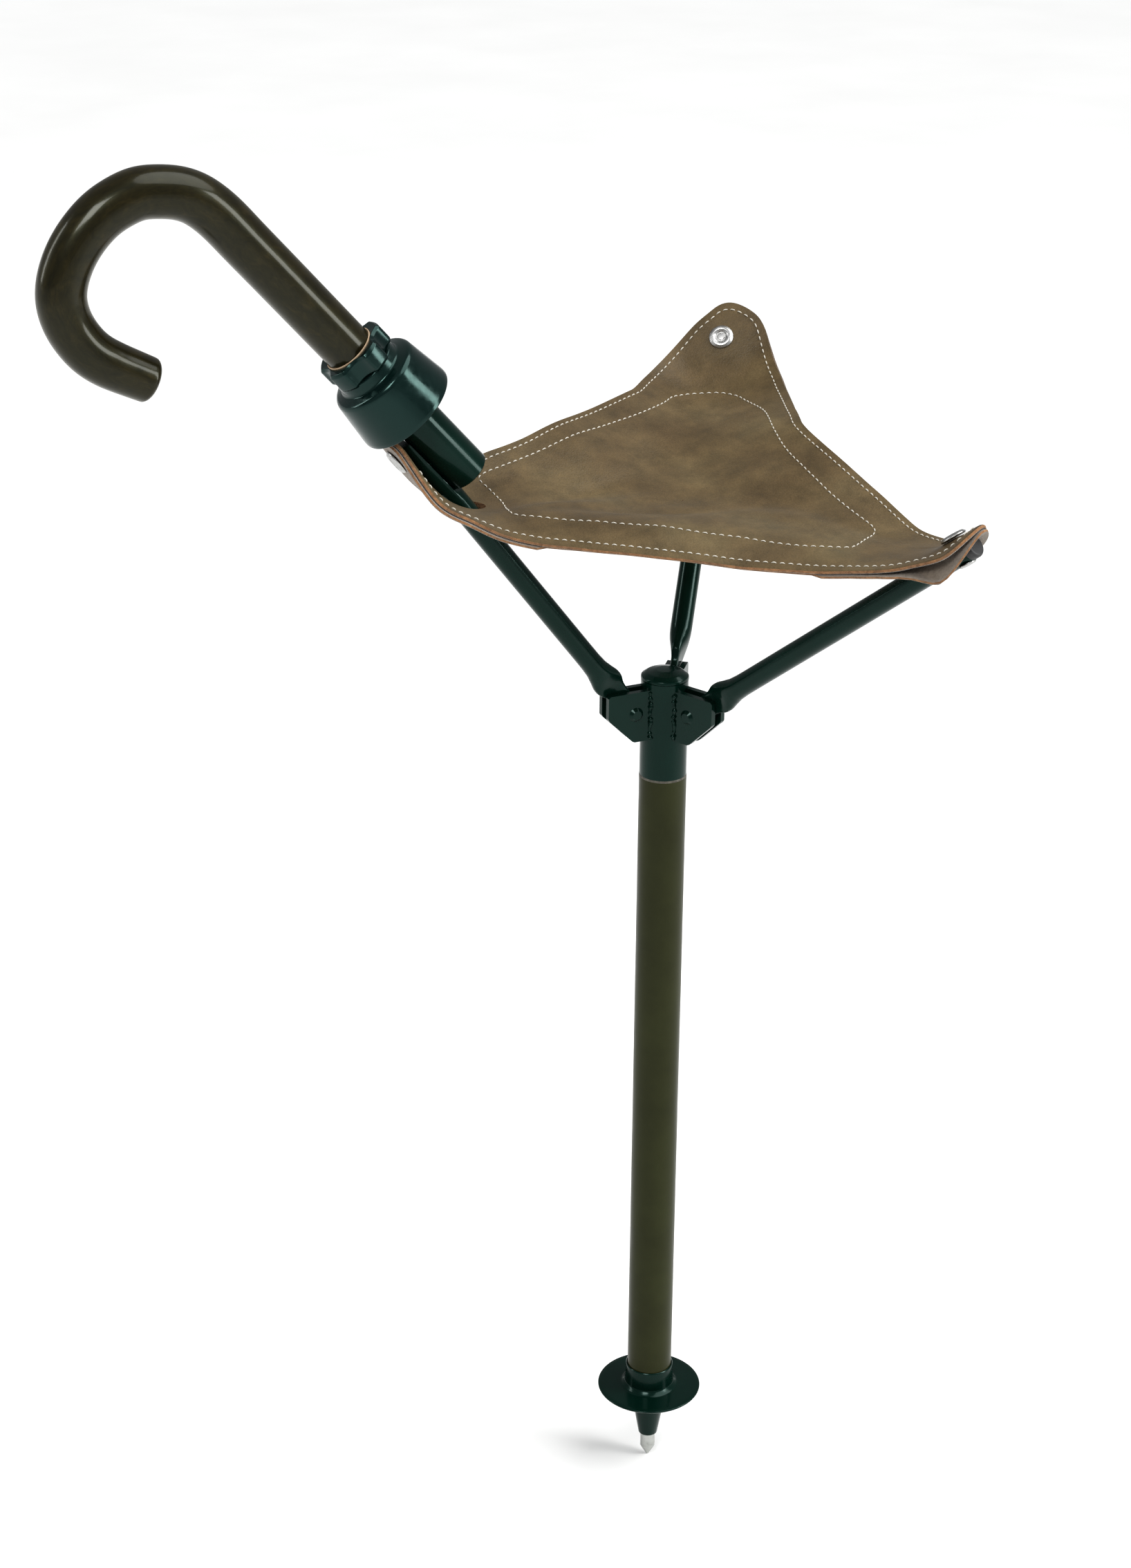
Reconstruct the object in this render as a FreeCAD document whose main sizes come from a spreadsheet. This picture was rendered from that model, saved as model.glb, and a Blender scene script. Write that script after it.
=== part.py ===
import FreeCAD, Part
import math
import os

# Walking stick seat: a metal stick on a ground spike, three folding arms on
# welded clevis brackets, a leather sling between the arm tips, and a wooden
# crook handle carried by arm 1 with a loose cup-shaped collar on it.
# Millimetres, origin at the tip of the spike, +Z up the stick.
# Arm 1 points along azimuth 180, arm 2 along 51.3, arm 3 along -64.8 degrees.

doc = FreeCAD.newDocument("walking_stick_seat")
sheet = doc.addObject("Spreadsheet::Sheet", "dims")

VALUES = [
    # stick
    ("spike_radius", 4.5), ("spike_point", 7.0), ("spike_top", 30.0),
    ("ferrule_base", 17.5), ("ferrule_low_radius", 5.8), ("ferrule_high_radius", 11.8),
    ("ferrule_spigot_radius", 8.5), ("ferrule_spigot_top", 74.0),
    ("plate_base", 52.0), ("plate_thick", 1.6), ("plate_radius", 31.5),
    ("boss_radius", 14.4), ("boss_top", 69.5), ("boss_flare", 4.0),
    ("shaft_radius", 13.4), ("shaft_wall", 1.5), ("shaft_base", 57.0), ("shaft_top", 462.0),
    ("joint_ring_radius", 13.6), ("joint_ring_high", 4.0),
    ("hub_radius", 13.3), ("hub_wall", 1.5), ("hub_top", 523.0),
    ("spigot_radius", 11.8), ("spigot_base", 425.0), ("spigot_top", 500.0),
    ("cap_radius", 13.5), ("cap_rim", 524.6), ("cap_top", 528.6), ("cap_plug", 10.0),
    # clevis brackets and pivots
    ("pivot_radius", 20.4), ("pivot_height", 506.4), ("pivot_pin_radius", 2.4),
    ("pivot_play", 0.05), ("pivot_head_radius", 4.2), ("pivot_head_high", 1.6),
    ("cheek_gap", 5.3), ("cheek_thick", 3.3), ("cheek_reach", 37.3),
    # arms
    ("arm_radius", 6.2), ("arm_bore", 5.0), ("arm_end", 217.0), ("blade_thick", 4.6),
    ("blade_half", 6.3), ("blade_long", 21.0), ("blade_round", 6.6),
    ("azimuth_two", 51.3), ("azimuth_three", -64.8),
    ("lean_one", 37.4), ("lean_two", 37.5), ("lean_three", 51.4),
    ("plug_end", 221.5), ("plug_spigot", 214.6),
    ("rivet_station", 211.7), ("rivet_shank", 2.1), ("rivet_head", 6.5), ("rivet_tail", 4.6),
    # handle and collar on arm 1
    ("handle_tilt", 4.29), ("handle_station", 179.5), ("handle_offset", 14.0),
    ("socket_radius", 12.2), ("socket_bore", 11.0), ("socket_long", 62.0),
    ("tenon_base", 30.0), ("wood_radius", 13.0), ("wood_straight", 188.0), ("crook_reach", 100.0),
    ("peg_radius", 1.8), ("peg_station", 50.0),
    ("collar_bore", 13.07), ("cup_mouth", 50.0), ("cup_mouth_radius", 27.9),
    ("cup_waist", 74.5), ("cup_waist_radius", 24.9), ("cup_roof", 79.5), ("cup_wall", 2.0),
    ("neck_radius", 17.6), ("ring_base", 84.8), ("ring_top", 96.5), ("ring_radius", 20.4),
    ("ring_core", 17.0),
    # leather
    ("leather_thick", 2.2), ("corner_base", 201.0), ("corner_end", 223.5),
    ("corner_base_half", 19.0), ("corner_rivet_half", 15.0), ("tab_base", 178.0), ("tab_end", 221.5),
    ("tab_base_half", 18.0),
    ("centre_x", -1.185), ("centre_y", -18.31), ("centre_z", 630.401),
    ("edge_onetwo_x", -38.94), ("edge_onetwo_y", 62.6), ("edge_onetwo_z", 654.87),
    ("edge_twothree_x", 82.7), ("edge_twothree_y", -24.77), ("edge_twothree_z", 652.15),
    ("edge_onethree_x", -41.33), ("edge_onethree_y", -74.12), ("edge_onethree_z", 636.8),
    ("slit_station", 171.0), ("crease_gap", 1.6), ("corner_gap", 14.0),
]
for row, (alias, value) in enumerate(VALUES, start=1):
    sheet.set("A%d" % row, alias)
    sheet.set("B%d" % row, repr(float(value)))
    sheet.setAlias("B%d" % row, alias)
doc.recompute()


def cell(alias):
    return float(sheet.get(alias))


V = FreeCAD.Vector
nodes = []


def keep(obj, label):
    obj.Label = label
    nodes.append(obj)
    return obj


def drive(obj, **links):
    for prop, text in links.items():
        obj.setExpression(prop, text)
    return obj


def cyl(name, radius, height, base="0"):
    o = doc.addObject("Part::Cylinder", name)
    drive(o, Radius=radius, Height=height)
    o.setExpression("Placement.Base.z", base)
    return o


def cone(name, r_low, r_high, height, base="0"):
    o = doc.addObject("Part::Cone", name)
    drive(o, Radius1=r_low, Radius2=r_high, Height=height)
    o.setExpression("Placement.Base.z", base)
    return o


def cut(name, a, b):
    o = doc.addObject("Part::Cut", name)
    o.Base = a
    o.Tool = b
    return o


def fuse(name, parts):
    o = doc.addObject("Part::MultiFuse", name)
    o.Shapes = parts
    return o


def feature(name, shape):
    o = doc.addObject("Part::Feature", name)
    o.Shape = shape
    return o


def plane_by_role(body, role):
    for f in body.Origin.OriginFeatures:
        if f.Role == role:
            return f
    raise RuntimeError("origin plane missing: " + role)


def turned(name, profile):
    """Body of revolution about Z. profile: list of (radius expression, height expression)."""
    body = doc.addObject("PartDesign::Body", name)
    sk = body.newObject("Sketcher::SketchObject", name + "_profile")
    sk.AttachmentSupport = [(plane_by_role(body, "XZ_Plane"), "")]
    sk.MapMode = "FlatFace"
    doc.recompute()

    def value(text):
        t = text
        for alias, _ in sorted(VALUES, key=lambda kv: -len(kv[0])):
            t = t.replace("dims." + alias, repr(cell(alias)))
        total = 0.0
        for term in t.replace("-", "+-").split("+"):
            if term.strip() in ("", "-"):
                continue
            neg = term.strip().startswith("-")
            term = term.strip().lstrip("-").strip()
            product = 1.0
            for factor in term.split("*"):
                product *= float(factor)
            total += -product if neg else product
        return total

    pts = [(value(r), value(z)) for r, z in profile]
    n = len(pts)
    for k in range(n):
        a, b = pts[k], pts[(k + 1) % n]
        sk.addGeometry(Part.LineSegment(V(a[0], a[1], 0), V(b[0], b[1], 0)), False)
    cons = []
    import Sketcher
    for k in range(n):
        sk.addConstraint(Sketcher.Constraint("Coincident", k, 2, (k + 1) % n, 1))
    for k in range(n):
        r, z = profile[k]
        if abs(pts[k][0]) < 1e-9:
            sk.addConstraint(Sketcher.Constraint("PointOnObject", k, 1, -2))
        else:
            c = sk.addConstraint(Sketcher.Constraint("DistanceX", -1, 1, k, 1, pts[k][0]))
            sk.renameConstraint(c, "r%d" % k)
            cons.append(("r%d" % k, r))
        if abs(pts[k][1]) < 1e-9:
            sk.addConstraint(Sketcher.Constraint("PointOnObject", k, 1, -1))
        else:
            c = sk.addConstraint(Sketcher.Constraint("DistanceY", -1, 1, k, 1, pts[k][1]))
            sk.renameConstraint(c, "z%d" % k)
            cons.append(("z%d" % k, z))
    for cname, text in cons:
        sk.setExpression("Constraints." + cname, text)
    rev = body.newObject("PartDesign::Revolution", name + "_turn")
    rev.Profile = sk
    rev.ReferenceAxis = (sk, ["V_Axis"])
    rev.Angle = 360.0
    body.Tip = rev
    return body


# ---------------------------------------------------------------- the stick
keep(turned("ground_spike", [
    ("0", "0"), ("0.7", "0"), ("dims.spike_radius", "dims.spike_point"),
    ("dims.spike_radius", "dims.spike_top"), ("0", "dims.spike_top")]), "ground_spike")

keep(turned("spike_cone", [
    ("dims.spike_radius", "dims.ferrule_base"), ("dims.ferrule_low_radius", "dims.ferrule_base"),
    ("dims.ferrule_high_radius", "dims.plate_base"), ("dims.ferrule_spigot_radius", "dims.plate_base"),
    ("dims.ferrule_spigot_radius", "dims.ferrule_spigot_top"), ("0", "dims.ferrule_spigot_top"),
    ("0", "dims.spike_top"), ("dims.spike_radius", "dims.spike_top")]), "spike_cone")

keep(turned("ground_plate", [
    ("dims.ferrule_spigot_radius", "dims.plate_base"), ("dims.plate_radius", "dims.plate_base"),
    ("dims.plate_radius", "dims.plate_base+dims.plate_thick"),
    ("dims.boss_radius+dims.boss_flare", "dims.plate_base+dims.plate_thick"),
    ("dims.boss_radius+0.25*dims.boss_flare", "dims.plate_base+dims.plate_thick+0.3*dims.boss_flare"),
    ("dims.boss_radius", "dims.plate_base+dims.plate_thick+dims.boss_flare"),
    ("dims.boss_radius", "dims.boss_top"), ("dims.shaft_radius", "dims.boss_top"),
    ("dims.shaft_radius", "dims.shaft_base"), ("dims.ferrule_spigot_radius", "dims.shaft_base")]),
    "ground_plate")

keep(turned("shaft_tube", [
    ("dims.shaft_radius-dims.shaft_wall", "dims.shaft_base"), ("dims.shaft_radius", "dims.shaft_base"),
    ("dims.shaft_radius", "dims.shaft_top"), ("dims.shaft_radius-dims.shaft_wall", "dims.shaft_top")]),
    "shaft_tube")

keep(turned("joint_spigot", [
    ("0", "dims.spigot_base"), ("dims.spigot_radius", "dims.spigot_base"),
    ("dims.spigot_radius", "dims.spigot_top"), ("0", "dims.spigot_top")]), "joint_spigot")

keep(turned("joint_ring", [
    ("dims.spigot_radius", "dims.shaft_top"), ("dims.joint_ring_radius", "dims.shaft_top"),
    ("dims.joint_ring_radius", "dims.shaft_top+dims.joint_ring_high"),
    ("dims.spigot_radius", "dims.shaft_top+dims.joint_ring_high")]), "joint_ring")

keep(turned("hub_tube", [
    ("dims.hub_radius-dims.hub_wall", "dims.shaft_top+dims.joint_ring_high"),
    ("dims.hub_radius", "dims.shaft_top+dims.joint_ring_high"),
    ("dims.hub_radius", "dims.hub_top"), ("dims.hub_radius-dims.hub_wall", "dims.hub_top")]), "hub_tube")

keep(turned("hub_cap", [
    ("0", "dims.hub_top-dims.cap_plug"), ("dims.hub_radius-dims.hub_wall", "dims.hub_top-dims.cap_plug"),
    ("dims.hub_radius-dims.hub_wall", "dims.hub_top"), ("dims.cap_radius", "dims.hub_top"),
    ("dims.cap_radius", "dims.cap_rim"), ("0.93*dims.cap_radius", "dims.cap_rim+1.5"),
    ("0.72*dims.cap_radius", "dims.cap_rim+2.8"), ("0.4*dims.cap_radius", "dims.cap_rim+3.6"),
    ("0", "dims.cap_top")]), "hub_cap")


# -------------------------------------------------- frames of the three arms
AZIMUTH = {1: 180.0, 2: cell("azimuth_two"), 3: cell("azimuth_three")}
LEAN = {1: cell("lean_one"), 2: cell("lean_two"), 3: cell("lean_three")}


def out_dir(i):
    a = math.radians(AZIMUTH[i])
    return V(math.cos(a), math.sin(a), 0)


def arm_placement(i):
    """Local x: inner side of the arm, z: along the arm, y: along the pivot."""
    u = out_dir(i)
    t = math.radians(LEAN[i])
    d = u * math.sin(t) + V(0, 0, math.cos(t))
    n = u * (-math.cos(t)) + V(0, 0, math.sin(t))
    yv = u.cross(V(0, 0, 1))
    m = FreeCAD.Matrix(n.x, yv.x, d.x, 0, n.y, yv.y, d.y, 0, n.z, yv.z, d.z, 0, 0, 0, 0, 1)
    p = FreeCAD.Placement(m)
    p.Base = u * cell("pivot_radius") + V(0, 0, cell("pivot_height"))
    return p


def radial_placement(i):
    """Local x: outwards, y: along the pivot, z: up, at the stick's axis."""
    return FreeCAD.Placement(V(0, 0, 0), FreeCAD.Rotation(V(0, 0, 1), AZIMUTH[i]))


# ------------------------------------------------------- brackets and pivots
def bracket(i):
    zp = cell("pivot_height")
    gap, thick, reach = cell("cheek_gap"), cell("cheek_thick"), cell("cheek_reach")
    inner = 10.0
    prof = [(inner, zp + 13.0), (reach - 1.2, zp + 13.0), (reach, zp + 11.8), (reach, zp - 0.6),
            (reach - 0.7, zp - 1.8), (22.5, zp - 15.8), (21.0, zp - 16.5), (inner, zp - 16.5)]
    cheeks = []
    for side in (1, -1):
        y0 = gap / 2 if side > 0 else -gap / 2 - thick
        w = Part.makePolygon([V(x, y0, z) for x, z in prof] + [V(prof[0][0], y0, prof[0][1])])
        cheeks.append(Part.Face(w).extrude(V(0, thick, 0)))
    web = Part.makeBox(15.1 - inner, gap + 2 * thick - 0.2, 9.7, V(inner, -gap / 2 - thick + 0.1, zp - 16.5))
    body = cheeks[0].fuse([cheeks[1], web])
    hub = Part.makeCylinder(cell("hub_radius"), 80, V(0, 0, zp - 50))
    hole = Part.makeCylinder(cell("pivot_pin_radius"), 40, V(cell("pivot_radius"), -20, zp), V(0, 1, 0))
    # room behind the arm's blade, rounded about the pivot
    room = Part.makeCylinder(cell("blade_round") + 0.6, gap, V(cell("pivot_radius"), -gap / 2, zp), V(0, 1, 0))
    s = body.cut(hub).cut(hole).cut(room).removeSplitter()
    solids = sorted(s.Solids, key=lambda q: -q.Volume)
    s = solids[0]
    s.Placement = radial_placement(i)
    return s


def pivot_pin(i):
    zp, rp = cell("pivot_height"), cell("pivot_radius")
    half = cell("cheek_gap") / 2 + cell("cheek_thick")
    hh, hr = cell("pivot_head_high"), cell("pivot_head_radius")
    s = Part.makeCylinder(cell("pivot_pin_radius"), 2 * half, V(rp, -half, zp), V(0, 1, 0))
    for side in (1, -1):
        head = Part.makeCone(hr, hr * 0.62, hh, V(rp, side * half, zp), V(0, side, 0))
        s = s.fuse(head)
    s = s.removeSplitter()
    s.Placement = radial_placement(i)
    return s


for i in (1, 2, 3):
    keep(feature("bracket_%d" % i, bracket(i)), "bracket_%d" % i)
    keep(feature("pivot_pin_%d" % i, pivot_pin(i)), "pivot_pin_%d" % i)


# -------------------------------------------------------------------- arms
def section(z, a, b):
    if abs(a - b) < 1e-6:
        e = Part.Circle(V(0, 0, z), V(0, 0, 1), a)
    else:
        e = Part.Ellipse(V(0, 0, z), a, b)
    return Part.Wire([e.toShape()])


def handle_frame():
    """Placement of the handle in arm 1's local frame: z along the handle."""
    t = math.radians(cell("handle_tilt"))
    z = V(-math.sin(t), 0, math.cos(t))
    x = V(math.cos(t), 0, math.sin(t))
    y = V(0, 1, 0)
    m = FreeCAD.Matrix(x.x, y.x, z.x, 0, x.y, y.y, z.y, 0, x.z, y.z, z.z, 0, 0, 0, 0, 1)
    p = FreeCAD.Placement(m)
    p.Base = V(cell("handle_offset"), 0, cell("handle_station"))
    return p


def arm_rod(i):
    r, long = cell("arm_radius"), cell("blade_long")
    bt, bh, br = cell("blade_thick") / 2, cell("blade_half"), cell("blade_round")
    eye = Part.makeCylinder(br, 2 * bt, V(0, -bt, 0), V(0, 1, 0))
    blade = Part.makeBox(2 * bh, 2 * bt, long, V(-bh, -bt, 0))
    neck = Part.makeLoft([section(long, bh - 0.25, bt - 0.15), section(long + 6, 7.9, 2.55),
                          section(long + 13, 7.9, 3.2), section(long + 22, 7.1, 4.8), section(long + 32, r, r)], True, False)
    end = cell("arm_end")
    rod = Part.makeCylinder(r, end - (long + 32), V(0, 0, long + 32))
    s = eye.fuse([blade, neck, rod])
    s = s.cut(Part.makeCylinder(cell("pivot_pin_radius") + cell("pivot_play"), 40, V(0, -20, 0), V(0, 1, 0)))
    if i == 1:
        s = s.cut(Part.makeCylinder(cell("arm_bore"), 105, V(0, 0, long + 37)))
        # the rod is flattened where the socket's tube lies against it
        stub = Part.makeBox(40, 40, 70, V(-cell("socket_radius"), -20, 0))
        stub.Placement = handle_frame()
        s = s.cut(stub)
        s = s.cut(Part.makeCylinder(cell("rivet_shank"), 8.0, V(-10, 0, cell("rivet_station")), V(1, 0, 0)))
    else:
        s = s.cut(Part.makeCylinder(cell("arm_bore"), end, V(0, 0, long + 37)))
        s = s.cut(Part.makeCylinder(cell("rivet_shank"), 40, V(-20, 0, cell("rivet_station")), V(1, 0, 0)))
    s = max(s.Solids, key=lambda q: q.Volume)
    s.Placement = arm_placement(i)
    return s


def tip_plug(i):
    r, end, top = cell("arm_radius"), cell("arm_end"), cell("plug_end")
    s = Part.makeCylinder(r, top - end, V(0, 0, end))
    s = s.makeFillet(1.6, [e for e in s.Edges if abs(e.BoundBox.ZMin - top) < 1e-6 and abs(e.BoundBox.ZMax - top) < 1e-6])
    s = s.fuse(Part.makeCylinder(cell("arm_bore"), end - cell("plug_spigot"), V(0, 0, cell("plug_spigot")))).removeSplitter()
    s.Placement = arm_placement(i)
    return s


def corner_rivet(i):
    r = cell("arm_radius")
    leather = cell("leather_thick")
    st, sh = cell("rivet_station"), cell("rivet_shank")
    head_r = cell("rivet_head")
    face = r + 0.15 + leather
    dome = Part.makeCone(head_r, head_r * 0.86, 1.1, V(face, 0, st), V(1, 0, 0))
    dome = dome.fuse(Part.makeCone(head_r * 0.86, head_r * 0.5, 1.1, V(face + 1.1, 0, st), V(1, 0, 0)))
    dome = dome.cut(Part.makeCylinder(1.9, 3, V(face + 1.3, 0, st), V(1, 0, 0)))
    if i == 1:
        s = dome.fuse(Part.makeCylinder(sh, face + 1.2 - 2.0, V(2.0, 0, st), V(1, 0, 0)))
        flip = FreeCAD.Placement(V(0, 0, 0), FreeCAD.Rotation(V(0, 0, 1), 180))
    else:
        s = dome.fuse(Part.makeCylinder(sh, face + r + 1.0, V(-r - 0.8, 0, st), V(1, 0, 0)))
        s = s.fuse(Part.makeCone(cell("rivet_tail"), cell("rivet_tail") * 0.7, 1.6, V(-r - 0.02, 0, st), V(-1, 0, 0)))
    s = s.removeSplitter()
    s = max(s.Solids, key=lambda q: q.Volume)
    s.Placement = arm_placement(i).multiply(flip) if i == 1 else arm_placement(i)
    return s


def seat_corner(i):
    r, leather = cell("arm_radius"), cell("leather_thick")
    st = cell("rivet_station")
    if i == 1:
        zb, ze, hb = cell("tab_base"), cell("tab_end"), cell("tab_base_half")
    else:
        zb, ze, hb = cell("corner_base"), cell("corner_end"), cell("corner_base_half")
    hr = cell("corner_rivet_half")
    x0 = r + 0.15
    half = [(hb, zb), (hr + 0.5, st - 4), (hr * 0.93, st + 2.5), (hr * 0.72, ze - 3.6), (hr * 0.4, ze - 0.8)]
    pts = [V(x0, y, z) for y, z in half] + [V(x0, -y, z) for y, z in reversed(half)]
    s = Part.Face(Part.makePolygon(pts + [pts[0]])).extrude(V(leather, 0, 0))
    s = s.cut(Part.makeCylinder(cell("rivet_shank"), 20, V(0, 0, st), V(1, 0, 0)))
    # on arm 1 the leather passes to the outer side
    flip = FreeCAD.Placement(V(0, 0, 0), FreeCAD.Rotation(V(0, 0, 1), 180))
    s.Placement = arm_placement(i).multiply(flip) if i == 1 else arm_placement(i)
    return s


for i in (1, 2, 3):
    keep(feature("arm_rod_%d" % i, arm_rod(i)), "arm_rod_%d" % i)
    if i != 1:
        keep(feature("tip_plug_%d" % i, tip_plug(i)), "tip_plug_%d" % i)
    keep(feature("corner_rivet_%d" % i, corner_rivet(i)), "corner_rivet_%d" % i)
    keep(feature("seat_corner_%d" % i, seat_corner(i)), "seat_corner_%d" % i)


# ------------------------------------------------------- handle on arm 1
HANDLE = arm_placement(1).multiply(handle_frame())


def placed(shape, placement=None):
    shape.Placement = placement or HANDLE
    return shape


def handle_socket():
    s = Part.makeCylinder(cell("socket_radius"), cell("socket_long"))
    s = s.cut(Part.makeCylinder(cell("socket_bore"), cell("socket_long") - cell("tenon_base") + 1,
                                V(0, 0, cell("tenon_base"))))
    rim = [e for e in s.Edges if abs(e.BoundBox.ZMin) < 1e-6 and abs(e.BoundBox.ZMax) < 1e-6]
    s = s.makeChamfer(0.8, rim)
    s = s.cut(Part.makeCylinder(cell("peg_radius"), 40, V(0, -20, cell("peg_station")), V(0, 1, 0)))
    return placed(s)


# centre line of the crook, as fractions of its reach: along the handle, outwards
CROOK = [(0.060, 0.001), (0.145, 0.010), (0.224, 0.030), (0.301, 0.070), (0.375, 0.132), (0.438, 0.205),
         (0.475, 0.288), (0.498, 0.384), (0.499, 0.503), (0.476, 0.621), (0.429, 0.726), (0.368, 0.805),
         (0.267, 0.872), (0.160, 0.906), (0.037, 0.913), (-0.066, 0.897), (-0.173, 0.858), (-0.261, 0.797)]


def crook_handle():
    straight, reach, r = cell("wood_straight"), cell("crook_reach"), cell("wood_radius")
    base = cell("socket_long")
    pts = [V(-b * reach, 0, straight + a * reach) for a, b in CROOK]
    start = V(0, 0, straight)
    curve = Part.BSplineCurve()
    path_pts = [start] + pts
    curve.interpolate(path_pts, InitialTangent=V(0, 0, 1), FinalTangent=(pts[-1] - pts[-2]))
    path = Part.Wire([curve.toShape()])
    sections = []
    total = len(path_pts) - 1
    params = [curve.parameter(p) for p in path_pts]
    picks = [0, 4, 8, 12, 15, total]
    radii = [r, r - 0.2, r - 0.6, r - 0.7, r - 0.9, r - 1.5]
    for k, rad in zip(picks, radii):
        t = params[k]
        c = curve.value(t)
        d = curve.tangent(t)[0]
        sections.append(Part.Wire([Part.Circle(c, d, rad).toShape()]))
    pipe = Part.BRepOffsetAPI.MakePipeShell(path)
    pipe.setFrenetMode(False)
    pipe.setBiNormalMode(V(0, 1, 0))
    for w in sections:
        pipe.add(w)
    pipe.build()
    pipe.makeSolid()
    hook = pipe.shape()
    if hook.Volume < 0:
        hook.reverse()
    hook = Part.Solid(hook.Shells[0])
    if hook.Volume < 0:
        hook.reverse()
    rod = Part.makeCylinder(r, straight - base, V(0, 0, base))
    tenon = Part.makeCylinder(cell("socket_bore"), base - cell("tenon_base"), V(0, 0, cell("tenon_base")))
    s = rod.fuse([hook, tenon]).removeSplitter()
    s = s.cut(Part.makeCylinder(cell("peg_radius"), 40, V(0, -20, cell("peg_station")), V(0, 1, 0)))
    s = max(s.Solids, key=lambda q: q.Volume)
    return placed(s)


def handle_peg():
    rr = cell("socket_radius")
    s = Part.makeCylinder(cell("peg_radius"), 2 * rr, V(0, -rr, cell("peg_station")), V(0, 1, 0))
    return placed(s)


keep(feature("handle_socket", handle_socket()), "handle_socket")
keep(feature("crook_handle", crook_handle()), "crook_handle")
keep(feature("handle_peg", handle_peg()), "handle_peg")


# ----------------------------------------------------------- sliding collar
def revolve_xz(pts):
    w = Part.makePolygon([V(x, 0, z) for x, z in pts] + [V(pts[0][0], 0, pts[0][1])])
    return Part.Face(w).revolve(V(0, 0, 0), V(0, 0, 1), 360)


def collar_cup():
    bore, wall = cell("collar_bore"), cell("cup_wall")
    m, mr = cell("cup_mouth"), cell("cup_mouth_radius")
    w, wr = cell("cup_waist"), cell("cup_waist_radius")
    roof, nr, rb = cell("cup_roof"), cell("neck_radius"), cell("ring_base")
    pts = [(mr - wall, m), (mr, m), (wr, w), (wr - 0.9, w + 2.2), (wr - 2.9, w + 3.9), (wr - 5.0, roof - 0.4),
           (nr, roof), (nr, rb), (bore, rb), (bore, w + 1.0), (wr - wall - 2.2, w + 1.0), (wr - wall, w - 1.6)]
    return placed(revolve_xz(pts))


def collar_grip():
    bore, rb, rt = cell("collar_bore"), cell("ring_base"), cell("ring_top")
    rr, core = cell("ring_radius"), cell("ring_core")
    s = revolve_xz([(bore, rb), (core + 0.8, rb), (rr - 0.6, rb + 1.6), (rr, rb + 3.2), (rr, rt - 1.6),
                    (rr - 1.2, rt), (bore, rt)])
    for k in range(5):
        a = math.radians(72 * k + 36)
        c = V(math.cos(a), math.sin(a), 0) * 27.2
        s = s.cut(Part.makeCylinder(10.4, 40, c + V(0, 0, rb - 10)))
    return placed(max(s.Solids, key=lambda q: q.Volume))


keep(feature("collar_cup", collar_cup()), "collar_cup")
keep(feature("collar_grip", collar_grip()), "collar_grip")


# --------------------------------------------------------- leather panels
def tip_point(i):
    """Where the seat's crease meets the arm."""
    if i == 1:
        local = V(0, 0, cell("slit_station"))
    else:
        local = V(cell("arm_radius") + 0.15 + cell("leather_thick"), 0, cell("rivet_station"))
    return arm_placement(i).multVec(local)


CENTRE = V(cell("centre_x"), cell("centre_y"), cell("centre_z"))
EDGE = {
    (1, 2): V(cell("edge_onetwo_x"), cell("edge_onetwo_y"), cell("edge_onetwo_z")),
    (2, 3): V(cell("edge_twothree_x"), cell("edge_twothree_y"), cell("edge_twothree_z")),
    (1, 3): V(cell("edge_onethree_x"), cell("edge_onethree_y"), cell("edge_onethree_z")),
}


def panel(i, j):
    """Flat leather panel between the centre, arm i's tip and the middle of the edge towards arm j."""
    t, c, m = tip_point(i), CENTRE, EDGE[tuple(sorted((i, j)))]
    n = (c - t).cross(m - t)
    if n.z < 0:
        n = n * -1
    n.normalize()
    gap, keep_off, thick = cell("crease_gap"), cell("corner_gap"), cell("leather_thick")

    def inward(a, b, third):
        e = (b - a)
        e.normalize()
        q = n.cross(e)
        if q.dot(third - a) < 0:
            q = q * -1
        return q

    q_ct = inward(t, c, m)
    q_cm = inward(c, m, t)
    e_tc = c - t
    e_tc.normalize()
    tri = Part.Face(Part.makePolygon([t, c, m, t])).extrude(n * (-thick))
    big = 600.0

    def half_space(point, direction):
        d = V(direction)
        d.normalize()
        f = Part.makePlane(big, big, V(0, 0, 0), V(0, 0, 1))
        f.translate(V(-big / 2, -big / 2, 0))
        f.Placement = FreeCAD.Placement(point, FreeCAD.Rotation(V(0, 0, 1), d)).multiply(f.Placement)
        return f.extrude(d * (-big))

    s = tri.cut(half_space(t + q_ct * gap, q_ct))
    s = s.cut(half_space(m + q_cm * gap, q_cm))
    s = s.cut(half_space(t + e_tc * keep_off, e_tc))
    return max(s.Solids, key=lambda q: q.Volume)


PANELS = [(1, 2), (1, 3), (2, 1), (2, 3), (3, 2), (3, 1)]
for i, j in PANELS:
    label = "seat_panel_%d%d" % (i, j)
    keep(feature(label, panel(i, j)), label)

# ------------------------------------------------------------ check and write
doc.recompute()
for obj in doc.Objects:
    bad = [s for s in obj.State if s in ("Invalid", "Error")]
    if bad:
        raise RuntimeError("%s is %s" % (obj.Name, bad))
os.makedirs("parts", exist_ok=True)
seen = set()
for obj in nodes:
    shape = obj.Shape
    if shape.isNull() or not shape.isValid():
        raise RuntimeError("bad shape: " + obj.Label)
    if len(shape.Solids) != 1:
        raise RuntimeError("%s has %d solids" % (obj.Label, len(shape.Solids)))
    if shape.Volume <= 0:
        raise RuntimeError("no volume: " + obj.Label)
    if obj.Label in seen:
        raise RuntimeError("twice: " + obj.Label)
    seen.add(obj.Label)
    shape.exportStep("parts/%s.step" % obj.Label)
    print("%-16s volume %10.1f  z %.1f to %.1f" % (obj.Label, shape.Volume, shape.BoundBox.ZMin, shape.BoundBox.ZMax))
print("nodes:", len(nodes))
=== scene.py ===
import math
import bpy
import bmesh
import numpy as np
from mathutils import Matrix, Vector


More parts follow.
